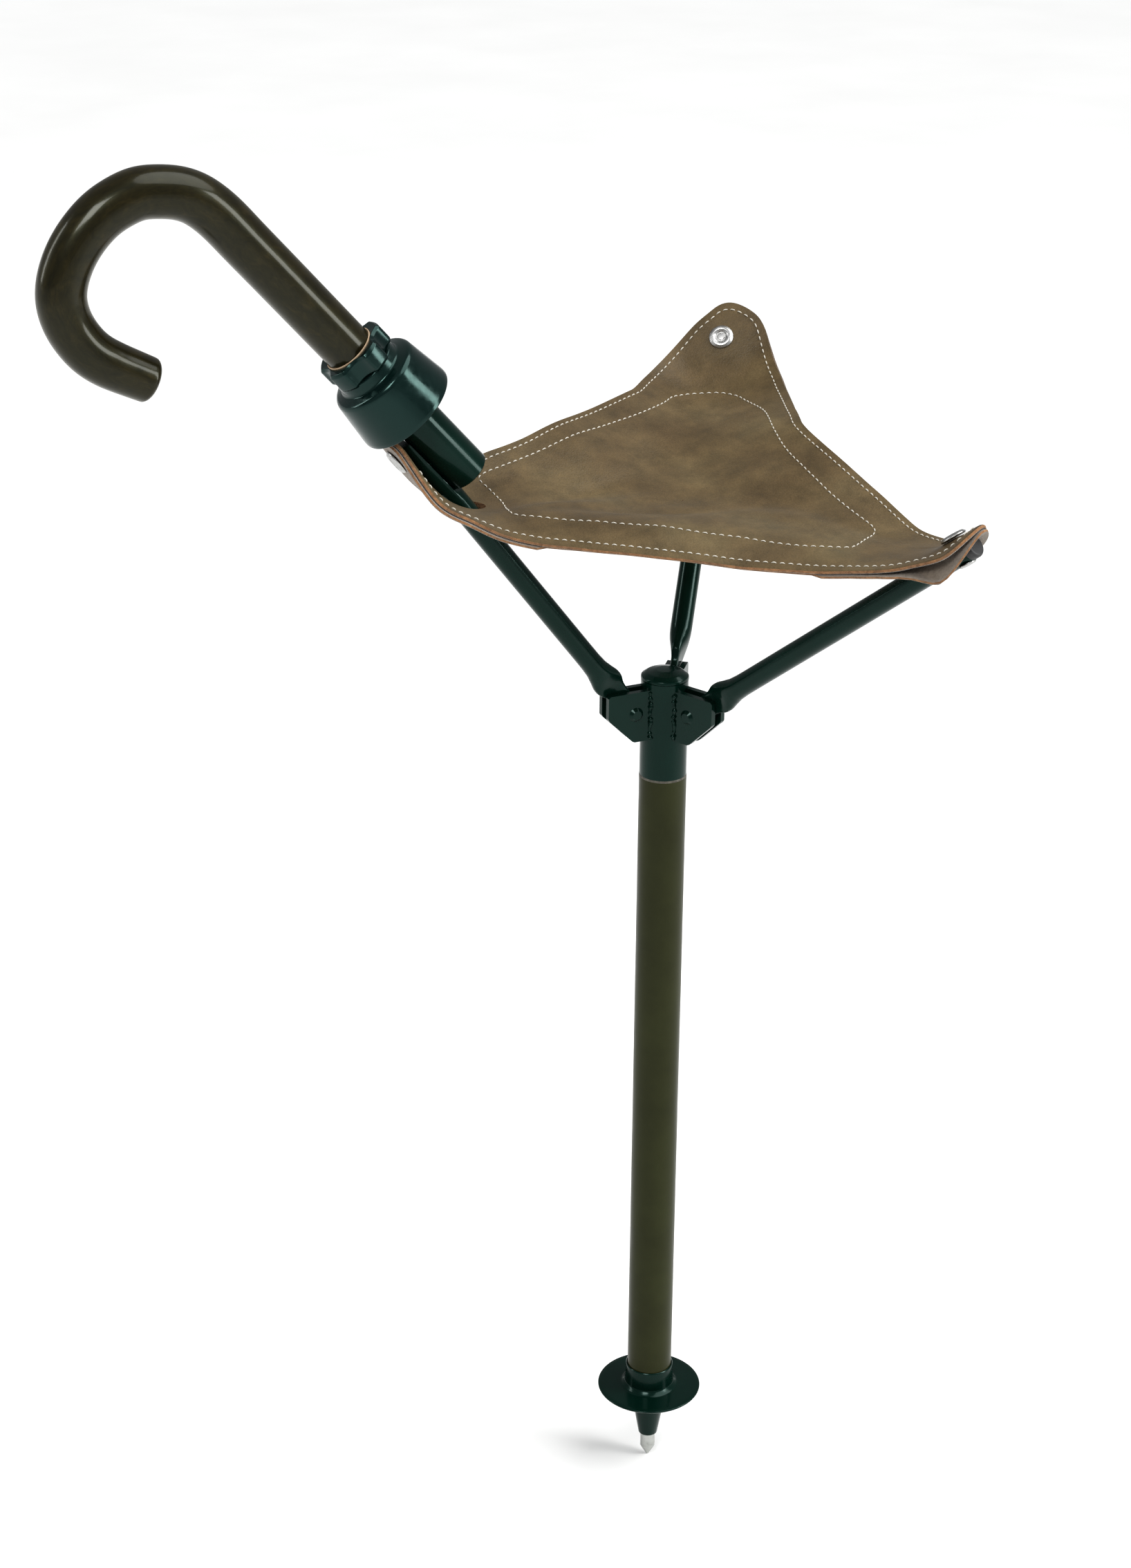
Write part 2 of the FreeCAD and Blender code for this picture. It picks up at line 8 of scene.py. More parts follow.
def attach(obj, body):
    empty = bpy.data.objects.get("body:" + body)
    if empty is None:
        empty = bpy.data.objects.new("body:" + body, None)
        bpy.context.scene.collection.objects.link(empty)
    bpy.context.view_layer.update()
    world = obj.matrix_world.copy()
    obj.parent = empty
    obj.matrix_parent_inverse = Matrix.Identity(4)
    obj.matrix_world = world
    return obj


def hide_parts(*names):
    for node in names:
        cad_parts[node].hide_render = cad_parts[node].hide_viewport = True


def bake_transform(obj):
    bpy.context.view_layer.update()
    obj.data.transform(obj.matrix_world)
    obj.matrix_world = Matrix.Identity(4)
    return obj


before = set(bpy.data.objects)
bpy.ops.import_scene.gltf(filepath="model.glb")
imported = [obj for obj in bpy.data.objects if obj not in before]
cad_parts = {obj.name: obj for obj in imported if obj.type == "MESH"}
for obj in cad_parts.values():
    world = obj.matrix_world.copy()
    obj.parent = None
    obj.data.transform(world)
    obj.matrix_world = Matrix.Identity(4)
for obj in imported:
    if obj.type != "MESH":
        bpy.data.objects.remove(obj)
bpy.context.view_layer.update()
MM = 0.001

# ---------------------------------------------------------------- camera, floor, light
scene = bpy.context.scene
scene.view_settings.view_transform = "Standard"
scene.view_settings.look = "Medium High Contrast"
cam_data = bpy.data.cameras.new("view_camera")
cam_data.sensor_fit = "AUTO"
cam_data.sensor_width = 36.0
cam_data.lens = 66.667
cam_data.clip_start = 0.05
cam_data.clip_end = 100.0
cam = bpy.data.objects.new("view_camera", cam_data)
scene.collection.objects.link(cam)
right = Vector((0.905617, -0.424029, 0.007557))
up = Vector((0.164534, 0.367713, 0.915268))
back = Vector((-0.390879, -0.827639, 0.402774))
cam.matrix_world = Matrix((
    (right.x, up.x, back.x, -0.689563),
    (right.y, up.y, back.y, -1.332017),
    (right.z, up.z, back.z, 1.117694),
    (0, 0, 0, 1)))
scene.camera = cam


# ---------------------------------------------------------------- material helpers
class Mat:
    """A node material with a Principled shader and short helpers."""

    def __init__(self, name, rough=0.5, metal=0.0, **sockets):
        self.m = bpy.data.materials.new(name)
        self.m.use_nodes = True
        self.t = self.m.node_tree
        self.p = self.t.nodes["Principled BSDF"]
        self.p.inputs["Roughness"].default_value = rough
        self.p.inputs["Metallic"].default_value = metal
        for k, v in sockets.items():
            self.p.inputs[k.replace("_", " ")].default_value = v
        self._co = None

    def node(self, kind, **props):
        n = self.t.nodes.new(kind)
        for k, v in props.items():
            setattr(n, k, v)
        return n

    def link(self, a, b):
        self.t.links.new(a, b)

    def co(self, kind="Object", scale=None):
        if self._co is None:
            self._co = self.node("ShaderNodeTexCoord")
        out = self._co.outputs[kind]
        if scale is None:
            return out
        mp = self.node("ShaderNodeMapping")
        mp.inputs["Scale"].default_value = scale
        self.link(out, mp.inputs["Vector"])
        return mp.outputs["Vector"]

    def noise(self, scale, detail=4.0, rough=0.55, vec=None, dist=0.0):
        n = self.node("ShaderNodeTexNoise")
        n.inputs["Scale"].default_value = scale
        n.inputs["Detail"].default_value = detail
        n.inputs["Roughness"].default_value = rough
        n.inputs["Distortion"].default_value = dist
        self.link(vec if vec is not None else self.co(), n.inputs["Vector"])
        return n.outputs["Fac"]

    def voronoi(self, scale, vec=None, feature="F1", out="Distance", rnd=1.0):
        n = self.node("ShaderNodeTexVoronoi", feature=feature)
        n.inputs["Scale"].default_value = scale
        n.inputs["Randomness"].default_value = rnd
        self.link(vec if vec is not None else self.co(), n.inputs["Vector"])
        return n.outputs[out]

    def ramp(self, fac, stops, interp="LINEAR"):
        n = self.node("ShaderNodeValToRGB")
        n.color_ramp.interpolation = interp
        els = n.color_ramp.elements
        while len(els) < len(stops):
            els.new(0.5)
        for e, (pos, col) in zip(els, stops):
            e.position = pos
            e.color = (*col, 1.0) if hasattr(col, "__len__") else (col, col, col, 1.0)
        self.link(fac, n.inputs["Fac"])
        return n.outputs["Color"]

    def span(self, fac, lo, hi, a, b):
        n = self.node("ShaderNodeMapRange")
        for k, v in zip(("From Min", "From Max", "To Min", "To Max"), (lo, hi, a, b)):
            n.inputs[k].default_value = v
        self.link(fac, n.inputs["Value"])
        return n.outputs["Result"]

    def mix(self, fac, a, b, blend="MIX"):
        n = self.node("ShaderNodeMix", data_type="RGBA", blend_type=blend)
        if isinstance(fac, float):
            n.inputs[0].default_value = fac
        else:
            self.link(fac, n.inputs[0])
        for s, v in ((n.inputs[6], a), (n.inputs[7], b)):
            if hasattr(v, "links") or isinstance(v, bpy.types.NodeSocket):
                self.link(v, s)
            else:
                s.default_value = (*v, 1.0)
        return n.outputs[2]

    def math(self, op, a, b=None):
        n = self.node("ShaderNodeMath", operation=op)
        for s, v in zip(n.inputs, (a, b)):
            if v is None:
                continue
            if isinstance(v, (int, float)):
                s.default_value = v
            else:
                self.link(v, s)
        return n.outputs[0]

    def bump(self, height, strength, distance, normal=None):
        n = self.node("ShaderNodeBump")
        n.inputs["Strength"].default_value = strength
        n.inputs["Distance"].default_value = distance
        self.link(height, n.inputs["Height"])
        if normal is not None:
            self.link(normal, n.inputs["Normal"])
        return n.outputs["Normal"]

    def set(self, socket, out):
        self.link(out, self.p.inputs[socket])
        return self


# leather, grain side
leather = Mat("leather_grain", rough=0.47, Specular_IOR_Level=0.30, Sheen_Weight=0.05, Sheen_Roughness=0.45)
big = leather.noise(16.0, 3.0, 0.5)
mid = leather.noise(75.0, 5.0, 0.6)
fine = leather.noise(900.0, 3.0, 0.6)
c1 = leather.ramp(big, [(0.30, (0.076, 0.050, 0.020)), (0.52, (0.104, 0.073, 0.032)), (0.72, (0.128, 0.097, 0.046))])
c2 = leather.ramp(mid, [(0.30, (0.70, 0.70, 0.69)), (0.70, (1.12, 1.10, 1.10))])
c3 = leather.ramp(fine, [(0.30, (0.86, 0.86, 0.86)), (0.70, (1.10, 1.10, 1.10))])
col = leather.mix(1.0, c1, c2, "MULTIPLY")
col = leather.mix(1.0, col, c3, "MULTIPLY")
leather.set("Base Color", col)
leather.set("Roughness", leather.span(mid, 0.3, 0.7, 0.40, 0.56))
grain = leather.voronoi(1100.0)
wr = leather.noise(240.0, 4.0, 0.6, dist=0.6)
b1 = leather.bump(wr, 0.30, 0.0007)
b2 = leather.bump(grain, 0.32, 0.0003, b1)
leather.set("Normal", b2)

# leather, cut edge
edge = Mat("leather_cut_edge", rough=0.86)
e1 = edge.noise(420.0, 5.0, 0.7)
e2 = edge.noise(60.0, 3.0, 0.5)
edge.set("Base Color", edge.mix(edge.span(e2, 0.35, 0.7, 0.0, 1.0),
         edge.ramp(e1, [(0.3, (0.150, 0.070, 0.028)), (0.7, (0.330, 0.175, 0.080))]),
         edge.ramp(e1, [(0.3, (0.085, 0.046, 0.024)), (0.7, (0.230, 0.130, 0.068))])))
edge.set("Normal", edge.bump(e1, 0.7, 0.0008))

# leather, flesh side
flesh = Mat("leather_flesh", rough=0.93, Sheen_Weight=0.25, Sheen_Roughness=0.6)
f1 = flesh.noise(520.0, 6.0, 0.75)
f2 = flesh.noise(22.0, 3.0, 0.5)
flesh.set("Base Color", flesh.mix(flesh.span(f2, 0.3, 0.7, 0.0, 1.0),
          flesh.ramp(f1, [(0.3, (0.105, 0.080, 0.056)), (0.7, (0.195, 0.155, 0.115))]),
          flesh.ramp(f1, [(0.3, (0.130, 0.104, 0.080)), (0.7, (0.225, 0.190, 0.150))])))
flesh.set("Normal", flesh.bump(f1, 0.6, 0.0006))

# thread
thread = Mat("thread", rough=0.62, Sheen_Weight=0.3)
t1 = thread.noise(2600.0, 3.0)
thread.set("Base Color", thread.ramp(t1, [(0.3, (0.38, 0.355, 0.30)), (0.7, (0.60, 0.575, 0.51))]))
thread.set("Normal", thread.bump(t1, 0.5, 0.0002))

# black enamel
enamel = Mat("black_enamel", rough=0.2, Specular_IOR_Level=0.16, Coat_Weight=0.12, Coat_Roughness=0.05)
n1 = enamel.noise(30.0, 4.0)
n2 = enamel.noise(700.0, 2.0)
enamel.set("Base Color", enamel.ramp(n1, [(0.3, (0.0008, 0.0088, 0.0058)), (0.7, (0.0016, 0.0132, 0.0092))]))
enamel.set("Roughness", enamel.span(n1, 0.3, 0.7, 0.13, 0.26))
enamel.set("Normal", enamel.bump(n2, 0.10, 0.0002))
for nd in enamel.m.node_tree.nodes:
    if nd.type == "BSDF_PRINCIPLED":
        nd.inputs["Specular Tint"].default_value = (0.60, 1.0, 0.90, 1.0)

# brown enamel of the shaft
brown = Mat("brown_enamel", rough=0.3, Specular_IOR_Level=0.12, Coat_Weight=0.04, Coat_Roughness=0.2)
n1 = brown.noise(26.0, 4.0)
n2 = brown.noise(900.0, 2.0)
brown.set("Base Color", brown.ramp(n1, [(0.3, (0.0190, 0.0205, 0.0062)), (0.7, (0.0290, 0.0320, 0.0105))]))
brown.set("Roughness", brown.span(n1, 0.3, 0.7, 0.26, 0.42))
brown.set("Normal", brown.bump(n2, 0.12, 0.0002))

# zinc
zinc = Mat("zinc_plate", rough=0.32, metal=1.0)
n1 = zinc.noise(140.0, 5.0, 0.65)
n2 = zinc.noise(1.0, 3.0, 0.5, vec=zinc.co(scale=(60.0, 60.0, 2200.0)))
zinc.set("Base Color", zinc.ramp(n1, [(0.3, (0.36, 0.37, 0.35)), (0.7, (0.54, 0.55, 0.53))]))
zinc.set("Roughness", zinc.span(n1, 0.3, 0.7, 0.24, 0.44))
zinc.set("Normal", zinc.bump(n2, 0.25, 0.0003))

# nickel of the rivets
nickel = Mat("nickel", rough=0.18, metal=1.0)
n1 = nickel.noise(300.0, 4.0)
nickel.set("Base Color", nickel.ramp(n1, [(0.3, (0.36, 0.36, 0.35)), (0.7, (0.50, 0.50, 0.49))]))
nickel.set("Roughness", nickel.span(n1, 0.3, 0.7, 0.30, 0.40))
nickel.set("Normal", nickel.bump(n1, 0.02, 0.0001))

# stained and lacquered wood of the crook; u runs round it, v along it
wood = Mat("crook_wood", rough=0.30, Specular_IOR_Level=0.16, Coat_Weight=0.28, Coat_Roughness=0.11)
uv = wood.co("UV")
mp = wood.node("ShaderNodeMapping")
mp.inputs["Scale"].default_value = (14.0, 9.0, 1.0)
wood.link(uv, mp.inputs["Vector"])
g1 = wood.noise(1.0, 6.0, 0.6, vec=mp.outputs["Vector"], dist=0.8)
mp2 = wood.node("ShaderNodeMapping")
mp2.inputs["Scale"].default_value = (90.0, 30.0, 1.0)
wood.link(uv, mp2.inputs["Vector"])
g2 = wood.noise(1.0, 3.0, 0.6, vec=mp2.outputs["Vector"])
wc = wood.ramp(g1, [(0.30, (0.0060, 0.0050, 0.0016)), (0.55, (0.0128, 0.0102, 0.0032)), (0.75, (0.0230, 0.0170, 0.0056))])
wc = wood.mix(wood.span(g2, 0.45, 0.75, 0.0, 0.5), wc, (0.005, 0.0032, 0.0024))
wood.set("Base Color", wc)
for nd in wood.m.node_tree.nodes:
    if nd.type == "BSDF_PRINCIPLED":
        nd.inputs["Specular Tint"].default_value = (0.92, 1.0, 0.74, 1.0)
        nd.inputs["Coat Tint"].default_value = (1.0, 0.98, 0.86, 1.0)
g3 = wood.noise(34.0, 3.0, 0.5)
wood.set("Normal", wood.bump(g2, 0.10, 0.0003, wood.bump(g3, 0.35, 0.0022)))

# bare wood at the rim of the crook
bare = Mat("bare_wood", rough=0.7)
n1 = bare.noise(300.0, 4.0)
bare.set("Base Color", bare.ramp(n1, [(0.3, (0.30, 0.21, 0.13)), (0.7, (0.46, 0.35, 0.24))]))

# glossy moulded plastic of the collar
plastic = Mat("collar_plastic", rough=0.16, Specular_IOR_Level=0.36)
n1 = plastic.noise(38.0, 3.0)
n2 = plastic.noise(300.0, 3.0)
plastic.set("Base Color", plastic.ramp(n1, [(0.3, (0.0018, 0.0070, 0.0062)), (0.7, (0.0032, 0.0105, 0.0095))]))
plastic.set("Roughness", plastic.span(n2, 0.3, 0.7, 0.11, 0.24))
plastic.set("Normal", plastic.bump(n1, 0.05, 0.0008))
for nd in plastic.m.node_tree.nodes:
    if nd.type == "BSDF_PRINCIPLED":
        nd.inputs["Specular Tint"].default_value = (0.60, 1.0, 0.92, 1.0)

# dull plastic of the plugs
plug = Mat("plug_plastic", rough=0.5)
n1 = plug.noise(500.0, 3.0)
plug.set("Base Color", plug.ramp(n1, [(0.3, (0.012, 0.012, 0.012)), (0.7, (0.022, 0.022, 0.022))]))
plug.set("Normal", plug.bump(n1, 0.2, 0.0002))

# worn enamel on the rim where the two tubes meet
worn = Mat("worn_rim", rough=0.5, metal=0.25)
n1 = worn.noise(260.0, 4.0)
worn.set("Base Color", worn.ramp(n1, [(0.3, (0.030, 0.027, 0.020)), (0.7, (0.120, 0.112, 0.090))]))
worn.set("Normal", worn.bump(n1, 0.3, 0.0003))

# floor
floor_m = Mat("pale_floor", rough=0.75)
n1 = floor_m.noise(3.0, 3.0)
floor_m.set("Base Color", floor_m.ramp(n1, [(0.3, (0.80, 0.80, 0.79)), (0.7, (0.83, 0.83, 0.82))]))

SLOT = {"zinc": zinc, "black_enamel": enamel, "brown_enamel": brown, "rivet_nickel": nickel,
        "leather": leather, "crook_wood": wood, "collar_plastic": plastic, "plug_plastic": plug}
SLOT_OF = {
    "ground_spike": "zinc", "spike_cone": "black_enamel", "ground_plate": "black_enamel", "shaft_tube": "brown_enamel",
    "joint_spigot": "zinc", "joint_ring": "black_enamel", "hub_tube": "black_enamel", "hub_cap": "black_enamel",
    "handle_socket": "black_enamel", "crook_handle": "crook_wood", "handle_peg": "zinc",
    "collar_cup": "collar_plastic", "collar_grip": "collar_plastic"}
for k in (1, 2, 3):
    SLOT_OF.update({f"bracket_{k}": "black_enamel", f"pivot_pin_{k}": "black_enamel", f"arm_rod_{k}": "black_enamel",
                    f"corner_rivet_{k}": "rivet_nickel", f"seat_corner_{k}": "leather"})
for k in (2, 3):
    SLOT_OF[f"tip_plug_{k}"] = "plug_plastic"
for name, s in SLOT_OF.items():
    o = bpy.data.objects[name]
    if not o.material_slots:
        o.data.materials.append(SLOT[s].m)
    for ms in o.material_slots:
        ms.link = "OBJECT"
        ms.material = SLOT[s].m


# ---------------------------------------------------------------- mesh helpers
def new_piece(name, verts, faces, mats, face_mat=None, smooth=True, sharp=None):
    """verts in millimetres."""
    me = bpy.data.meshes.new(name)
    me.from_pydata([tuple(v) for v in np.asarray(verts, float) * MM], [], [tuple(int(k) for k in f) for f in faces])
    for m in mats:
        me.materials.append(m.m)
    if face_mat is not None:
        me.polygons.foreach_set("material_index", np.asarray(face_mat, np.int32))
    me.polygons.foreach_set("use_smooth", np.full(len(me.polygons), smooth))
    if sharp is not None:
        me.set_sharp_from_angle(angle=math.radians(sharp))
    me.update()
    o = bpy.data.objects.new(name, me)
    scene.collection.objects.link(o)
    return o


def fillet(points, steps=5):
    """A polyline of (r, z, radius) with its corners rounded."""
    out = []
    n = len(points)
    for i, (r, z, rad) in enumerate(points):
        p = np.array([r, z], float)
        if rad <= 0 or i in (0, n - 1):
            out.append(p)
            continue
        a = np.array(points[i - 1][:2], float) - p
        b = np.array(points[i + 1][:2], float) - p
        la, lb = np.linalg.norm(a), np.linalg.norm(b)
        a, b = a / la, b / lb
        half = math.acos(max(-1.0, min(1.0, float(a @ b)))) / 2
        if half > 1.54:
            out.append(p)
            continue
        t = min(rad / math.tan(half), 0.49 * la, 0.49 * lb)
        rr = t * math.tan(half)
        c = p + (a + b) / np.linalg.norm(a + b) * rr / math.sin(half)
        s, e = p + a * t - c, p + b * t - c
        ang = math.acos(max(-1.0, min(1.0, float(s @ e) / (rr * rr))))
        sign = 1.0 if s[0] * e[1] - s[1] * e[0] > 0 else -1.0
        for k in range(steps + 1):
            f = sign * ang * k / steps
            out.append(c + np.array([s[0] * math.cos(f) - s[1] * math.sin(f), s[0] * math.sin(f) + s[1] * math.cos(f)]))
    return np.array(out)


def lathe(name, profile, mats, origin=(0, 0, 0), axis=(0, 0, 1), n=96, ref=None, radial=None, face_mat=None, sharp=32):
    """Turns a profile of (r, z) round an axis. A closed ring where the first and last radii aren't zero is closed by the caller's profile."""
    origin, axis = np.array(origin, float), np.array(axis, float)
    axis = axis / np.linalg.norm(axis)
    x = np.array(ref, float) if ref is not None else np.cross(axis, (0.3, 0.9, 0.1))
    x = x - axis * (x @ axis)
    x = x / np.linalg.norm(x)
    y = np.cross(axis, x)
    prof = np.asarray(profile, float)
    closed = np.allclose(prof[0], prof[-1])
    if closed:
        prof = prof[:-1]
    m = len(prof)
    verts, idx = [], np.zeros((m, n), int)
    for i, (r, z) in enumerate(prof):
        if r < 1e-6:
            idx[i, :] = len(verts)
            verts.append(origin + axis * z)
            continue
        for j in range(n):
            a = 2 * math.pi * j / n
            rr = r if radial is None else radial(a, r, z)
            idx[i, j] = len(verts)
            verts.append(origin + x * rr * math.cos(a) + y * rr * math.sin(a) + axis * z)
    faces, fm = [], []
    rows = m if closed else m - 1
    for i in range(rows):
        i2 = (i + 1) % m
        for j in range(n):
            j2 = (j + 1) % n
            f = []
            for v in (idx[i, j], idx[i, j2], idx[i2, j2], idx[i2, j]):
                if v not in f:
                    f.append(v)
            if len(f) > 2:
                faces.append(f)
                fm.append(0 if face_mat is None else face_mat[i])
    o = new_piece(name, verts, faces, mats, fm, True)
    bm = bmesh.new()
    bm.from_mesh(o.data)
    bmesh.ops.recalc_face_normals(bm, faces=bm.faces)
    bm.to_mesh(o.data)
    bm.free()
    o.data.set_sharp_from_angle(angle=math.radians(sharp))
    return o


def spline(pts, radii, step=2.0):
    """Smooth line through points, by chord length, with radii."""
    pts, radii = np.array(pts, float), np.array(radii, float)
    s = np.concatenate([[0], np.cumsum(np.linalg.norm(np.diff(pts, axis=0), axis=1))])
    m = len(pts)

    def solve(v):
        # natural cubic
        h = np.diff(s)
        A, b = np.zeros((m, m)), np.zeros((m, v.shape[1]))
        A[0, 0] = A[-1, -1] = 1
        for i in range(1, m - 1):
            A[i, i - 1], A[i, i], A[i, i + 1] = h[i - 1], 2 * (h[i - 1] + h[i]), h[i]
            b[i] = 6 * ((v[i + 1] - v[i]) / h[i] - (v[i] - v[i - 1]) / h[i - 1])
        M = np.linalg.solve(A, b)

        def at(t):
            i = np.clip(np.searchsorted(s, t) - 1, 0, m - 2)
            a, bb, hh = (s[i + 1] - t), (t - s[i]), h[i]
            return ((M[i] * a[:, None] ** 3 + M[i + 1] * bb[:, None] ** 3) / (6 * hh[:, None])
                    + (v[i] / hh[:, None] - M[i] * hh[:, None] / 6) * a[:, None]
                    + (v[i + 1] / hh[:, None] - M[i + 1] * hh[:, None] / 6) * bb[:, None])
        return at
    t = np.linspace(0, s[-1], max(4, int(s[-1] / step)))
    return solve(pts)(t), np.interp(t, s, radii), t


# ---------------------------------------------------------------- frames of the arms and of the handle
Z = np.array([0, 0, 1.0])
AZ, LEAN = (180.0, 51.3, -64.8), (37.4, 37.5, 51.4)
RP, ZP = 20.4, 506.4


def arm_frame(i):
    a, t = math.radians(AZ[i]), math.radians(LEAN[i])
    u = np.array([math.cos(a), math.sin(a), 0.0])
    d = u * math.sin(t) + Z * math.cos(t)
    n = -u * math.cos(t) + Z * math.sin(t)
    return u * RP + Z * ZP, d, n, np.cross(u, Z)


def arm(i, s, off=0.0, lat=0.0):
    o, d, n, y = arm_frame(i)
    return o + d * s + n * off + y * lat


O1, D1, N1, Y1 = arm_frame(0)
tilt = math.radians(4.29)
HO = O1 + N1 * 14.0 + D1 * 179.5
HZ = -N1 * math.sin(tilt) + D1 * math.cos(tilt)
HX = N1 * math.cos(tilt) + D1 * math.sin(tilt)

# ---------------------------------------------------------------- crook
AB = [(0.060, 0.001), (0.145, 0.010), (0.224, 0.030), (0.301, 0.070), (0.375, 0.132), (0.438, 0.205), (0.475, 0.288),
      (0.498, 0.384), (0.499, 0.503), (0.476, 0.621), (0.430, 0.728), (0.366, 0.812), (0.268, 0.874), (0.163, 0.902),
      (0.047, 0.905), (-0.051, 0.882), (-0.149, 0.846), (-0.239, 0.811)]
path = [HO + HZ * q for q in (62.0, 90.0, 125.0, 160.0, 180.0)] + [HO + HZ * (188 + 100 * a) - HX * 100 * b for a, b in AB]
rad = [13.0] * 5 + list(np.interp(np.arange(len(AB)), [0, 4, 8, 12, 15, 17], [13.0, 12.85, 12.45, 12.3, 12.1, 11.5]))
line, rr, along = spline(path, rad, 1.5)
# rounded far end
tan = np.gradient(line, axis=0)
tan /= np.linalg.norm(tan, axis=1)[:, None]
side = np.tile(Y1, (len(line), 1))
other = np.cross(tan, side)
NS = 56
verts, uvs = [], []
for i in range(len(line)):
    for j in range(NS + 1):
        a = 2 * math.pi * j / NS
        verts.append(line[i] + rr[i] * (side[i] * math.cos(a) + other[i] * math.sin(a)))
        uvs.append((j / NS, along[i] / 100.0))
L = along[-1]
endc, te, re = line[-1], tan[-1], rr[-1]
extra = 7
for k in range(1, extra + 1):
    f = math.pi / 2 * k / extra
    r2, h2 = re * (0.55 + 0.45 * math.cos(f)) if k < extra else 0.0, 3.6 * math.sin(f)
    if k == extra:
        r2, h2 = 0.001, 4.4
    for j in range(NS + 1):
        a = 2 * math.pi * j / NS
        verts.append(endc + te * h2 + r2 * (side[-1] * math.cos(a) + other[-1] * math.sin(a)))
        uvs.append((j / NS, (L + h2 + re - r2) / 100.0))
rows = len(line) + extra
# closed bottom
for r2 in (11.9, 6.0, 0.001):
    for j in range(NS + 1):
        a = 2 * math.pi * j / NS
        verts.append(line[0] - tan[0] * 0.6 + r2 * (side[0] * math.cos(a) + other[0] * math.sin(a)))
        uvs.append((j / NS, -0.01))
faces, fm = [], []
order = [rows + 2, rows + 1, rows] + list(range(rows))
for i in range(len(order) - 1):
    A, B = order[i] * (NS + 1), order[i + 1] * (NS + 1)
    for j in range(NS):
        faces.append((A + j, A + j + 1, B + j + 1, B + j))
        fm.append(1 if i < 3 else 0)
crook = new_piece("crook", verts, faces, [wood, bare], fm)
lay = crook.data.uv_layers.new(name="along")
loops = np.zeros(len(crook.data.loops), np.int32)
crook.data.loops.foreach_get("vertex_index", loops)
lay.data.foreach_set("uv", np.array(uvs, float)[loops].ravel())
bm = bmesh.new()
bm.from_mesh(crook.data)
bmesh.ops.remove_doubles(bm, verts=bm.verts, dist=2e-6)
bmesh.ops.recalc_face_normals(bm, faces=bm.faces)
bm.to_mesh(crook.data)
bm.free()
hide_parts("crook_handle")
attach(crook, "arm_1")

# ---------------------------------------------------------------- collar
prof = fillet([(25.2, 52.0, 0), (25.4, 51.1, 0.5), (27.3, 51.1, 0.6), (27.2, 53.5, 1.0), (24.9, 72.0, 5.0), (24.1, 78.4, 3.4), (17.9, 80.3, 1.8),
               (17.2, 86.0, 0.8), (14.2, 86.0, 0.4), (13.07, 84.0, 0), (13.07, 77.6, 0), (21.7, 76.3, 2.5), (23.0, 72.0, 3.0), (25.2, 52.0, 0)])
cup = lathe("collar_shell", prof, [plastic], HO, HZ, 128, HX)
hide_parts("collar_cup")
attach(cup, "collar")


def scallop(a, r, z):
    if r < 15.0:
        return r
    cut = 1e9
    for k in range(5):
        dlt = (a - math.radians(36 + 72 * k) + math.pi) % (2 * math.pi) - math.pi
        s = 25.8 * math.sin(dlt)
        if abs(s) < 10.4 and abs(dlt) < 1.2:
            cut = min(cut, 25.8 * math.cos(dlt) - math.sqrt(10.4 ** 2 - s * s))
    if cut > 1e8:
        return r
    k = 0.9
    lim = cut - (19.1 - r)
    h = max(0.0, min(1.0, 0.5 + 0.5 * (lim - r) / k))
    return lim * (1 - h) + r * h - k * h * (1 - h)


prof = fillet([(13.07, 95.2, 0), (13.6, 96.9, 0.8), (17.9, 97.2, 0.6), (19.1, 95.6, 1.2), (19.1, 86.6, 1.4), (17.7, 84.9, 0.8), (15.4, 84.9, 0), (13.2, 85.6, 0), (13.07, 95.2, 0)], 6)
ring = lathe("collar_ring", prof, [plastic], HO, HZ, 180, HX, scallop, sharp=50)
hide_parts("collar_grip")
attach(ring, "collar")

prof = [(13.08, 96.6), (13.7, 96.7), (13.75, 97.3), (13.5, 97.6), (13.12, 97.5), (13.08, 96.6)]
rim = lathe("collar_rim", prof, [bare], HO, HZ, 96, HX)
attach(rim, "collar")

# ---------------------------------------------------------------- ground plate, hub cap, joint ring
prof = fillet([(13.45, 52.0, 0), (30.6, 52.0, 0.5), (31.5, 52.9, 0.7), (31.3, 53.7, 0.5), (29.0, 54.0, 3.0), (17.2, 54.3, 2.4), (14.8, 56.6, 1.6), (14.35, 68.7, 0.5),
               (13.7, 69.5, 0.4), (13.45, 68.6, 0), (13.45, 52.0, 0)], 6)
plate = lathe("plate_turned", prof, [enamel], n=128)
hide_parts("ground_plate")
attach(plate, "stick")
prof = fillet([(0, 528.6, 0), (5.0, 528.3, 8.0), (10.4, 527.0, 4.0), (13.3, 525.0, 1.0), (13.5, 523.5, 0.3), (13.1, 523.05, 0.2), (0, 523.05, 0)], 6)
cap = lathe("hub_cap_turned", prof, [enamel], n=96)
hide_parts("hub_cap")
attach(cap, "stick")
prof = [(11.9, 462.0), (13.43, 462.0), (13.47, 464.7), (13.44, 465.2), (13.34, 465.7), (13.2, 465.95), (12.9, 466.0), (11.9, 466.0), (11.9, 462.0)]
joint = lathe("joint_rim", prof, [brown, worn], n=96, face_mat=[0, 0, 1, 1, 1, 1, 0, 0])
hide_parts("joint_ring")
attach(joint, "stick")


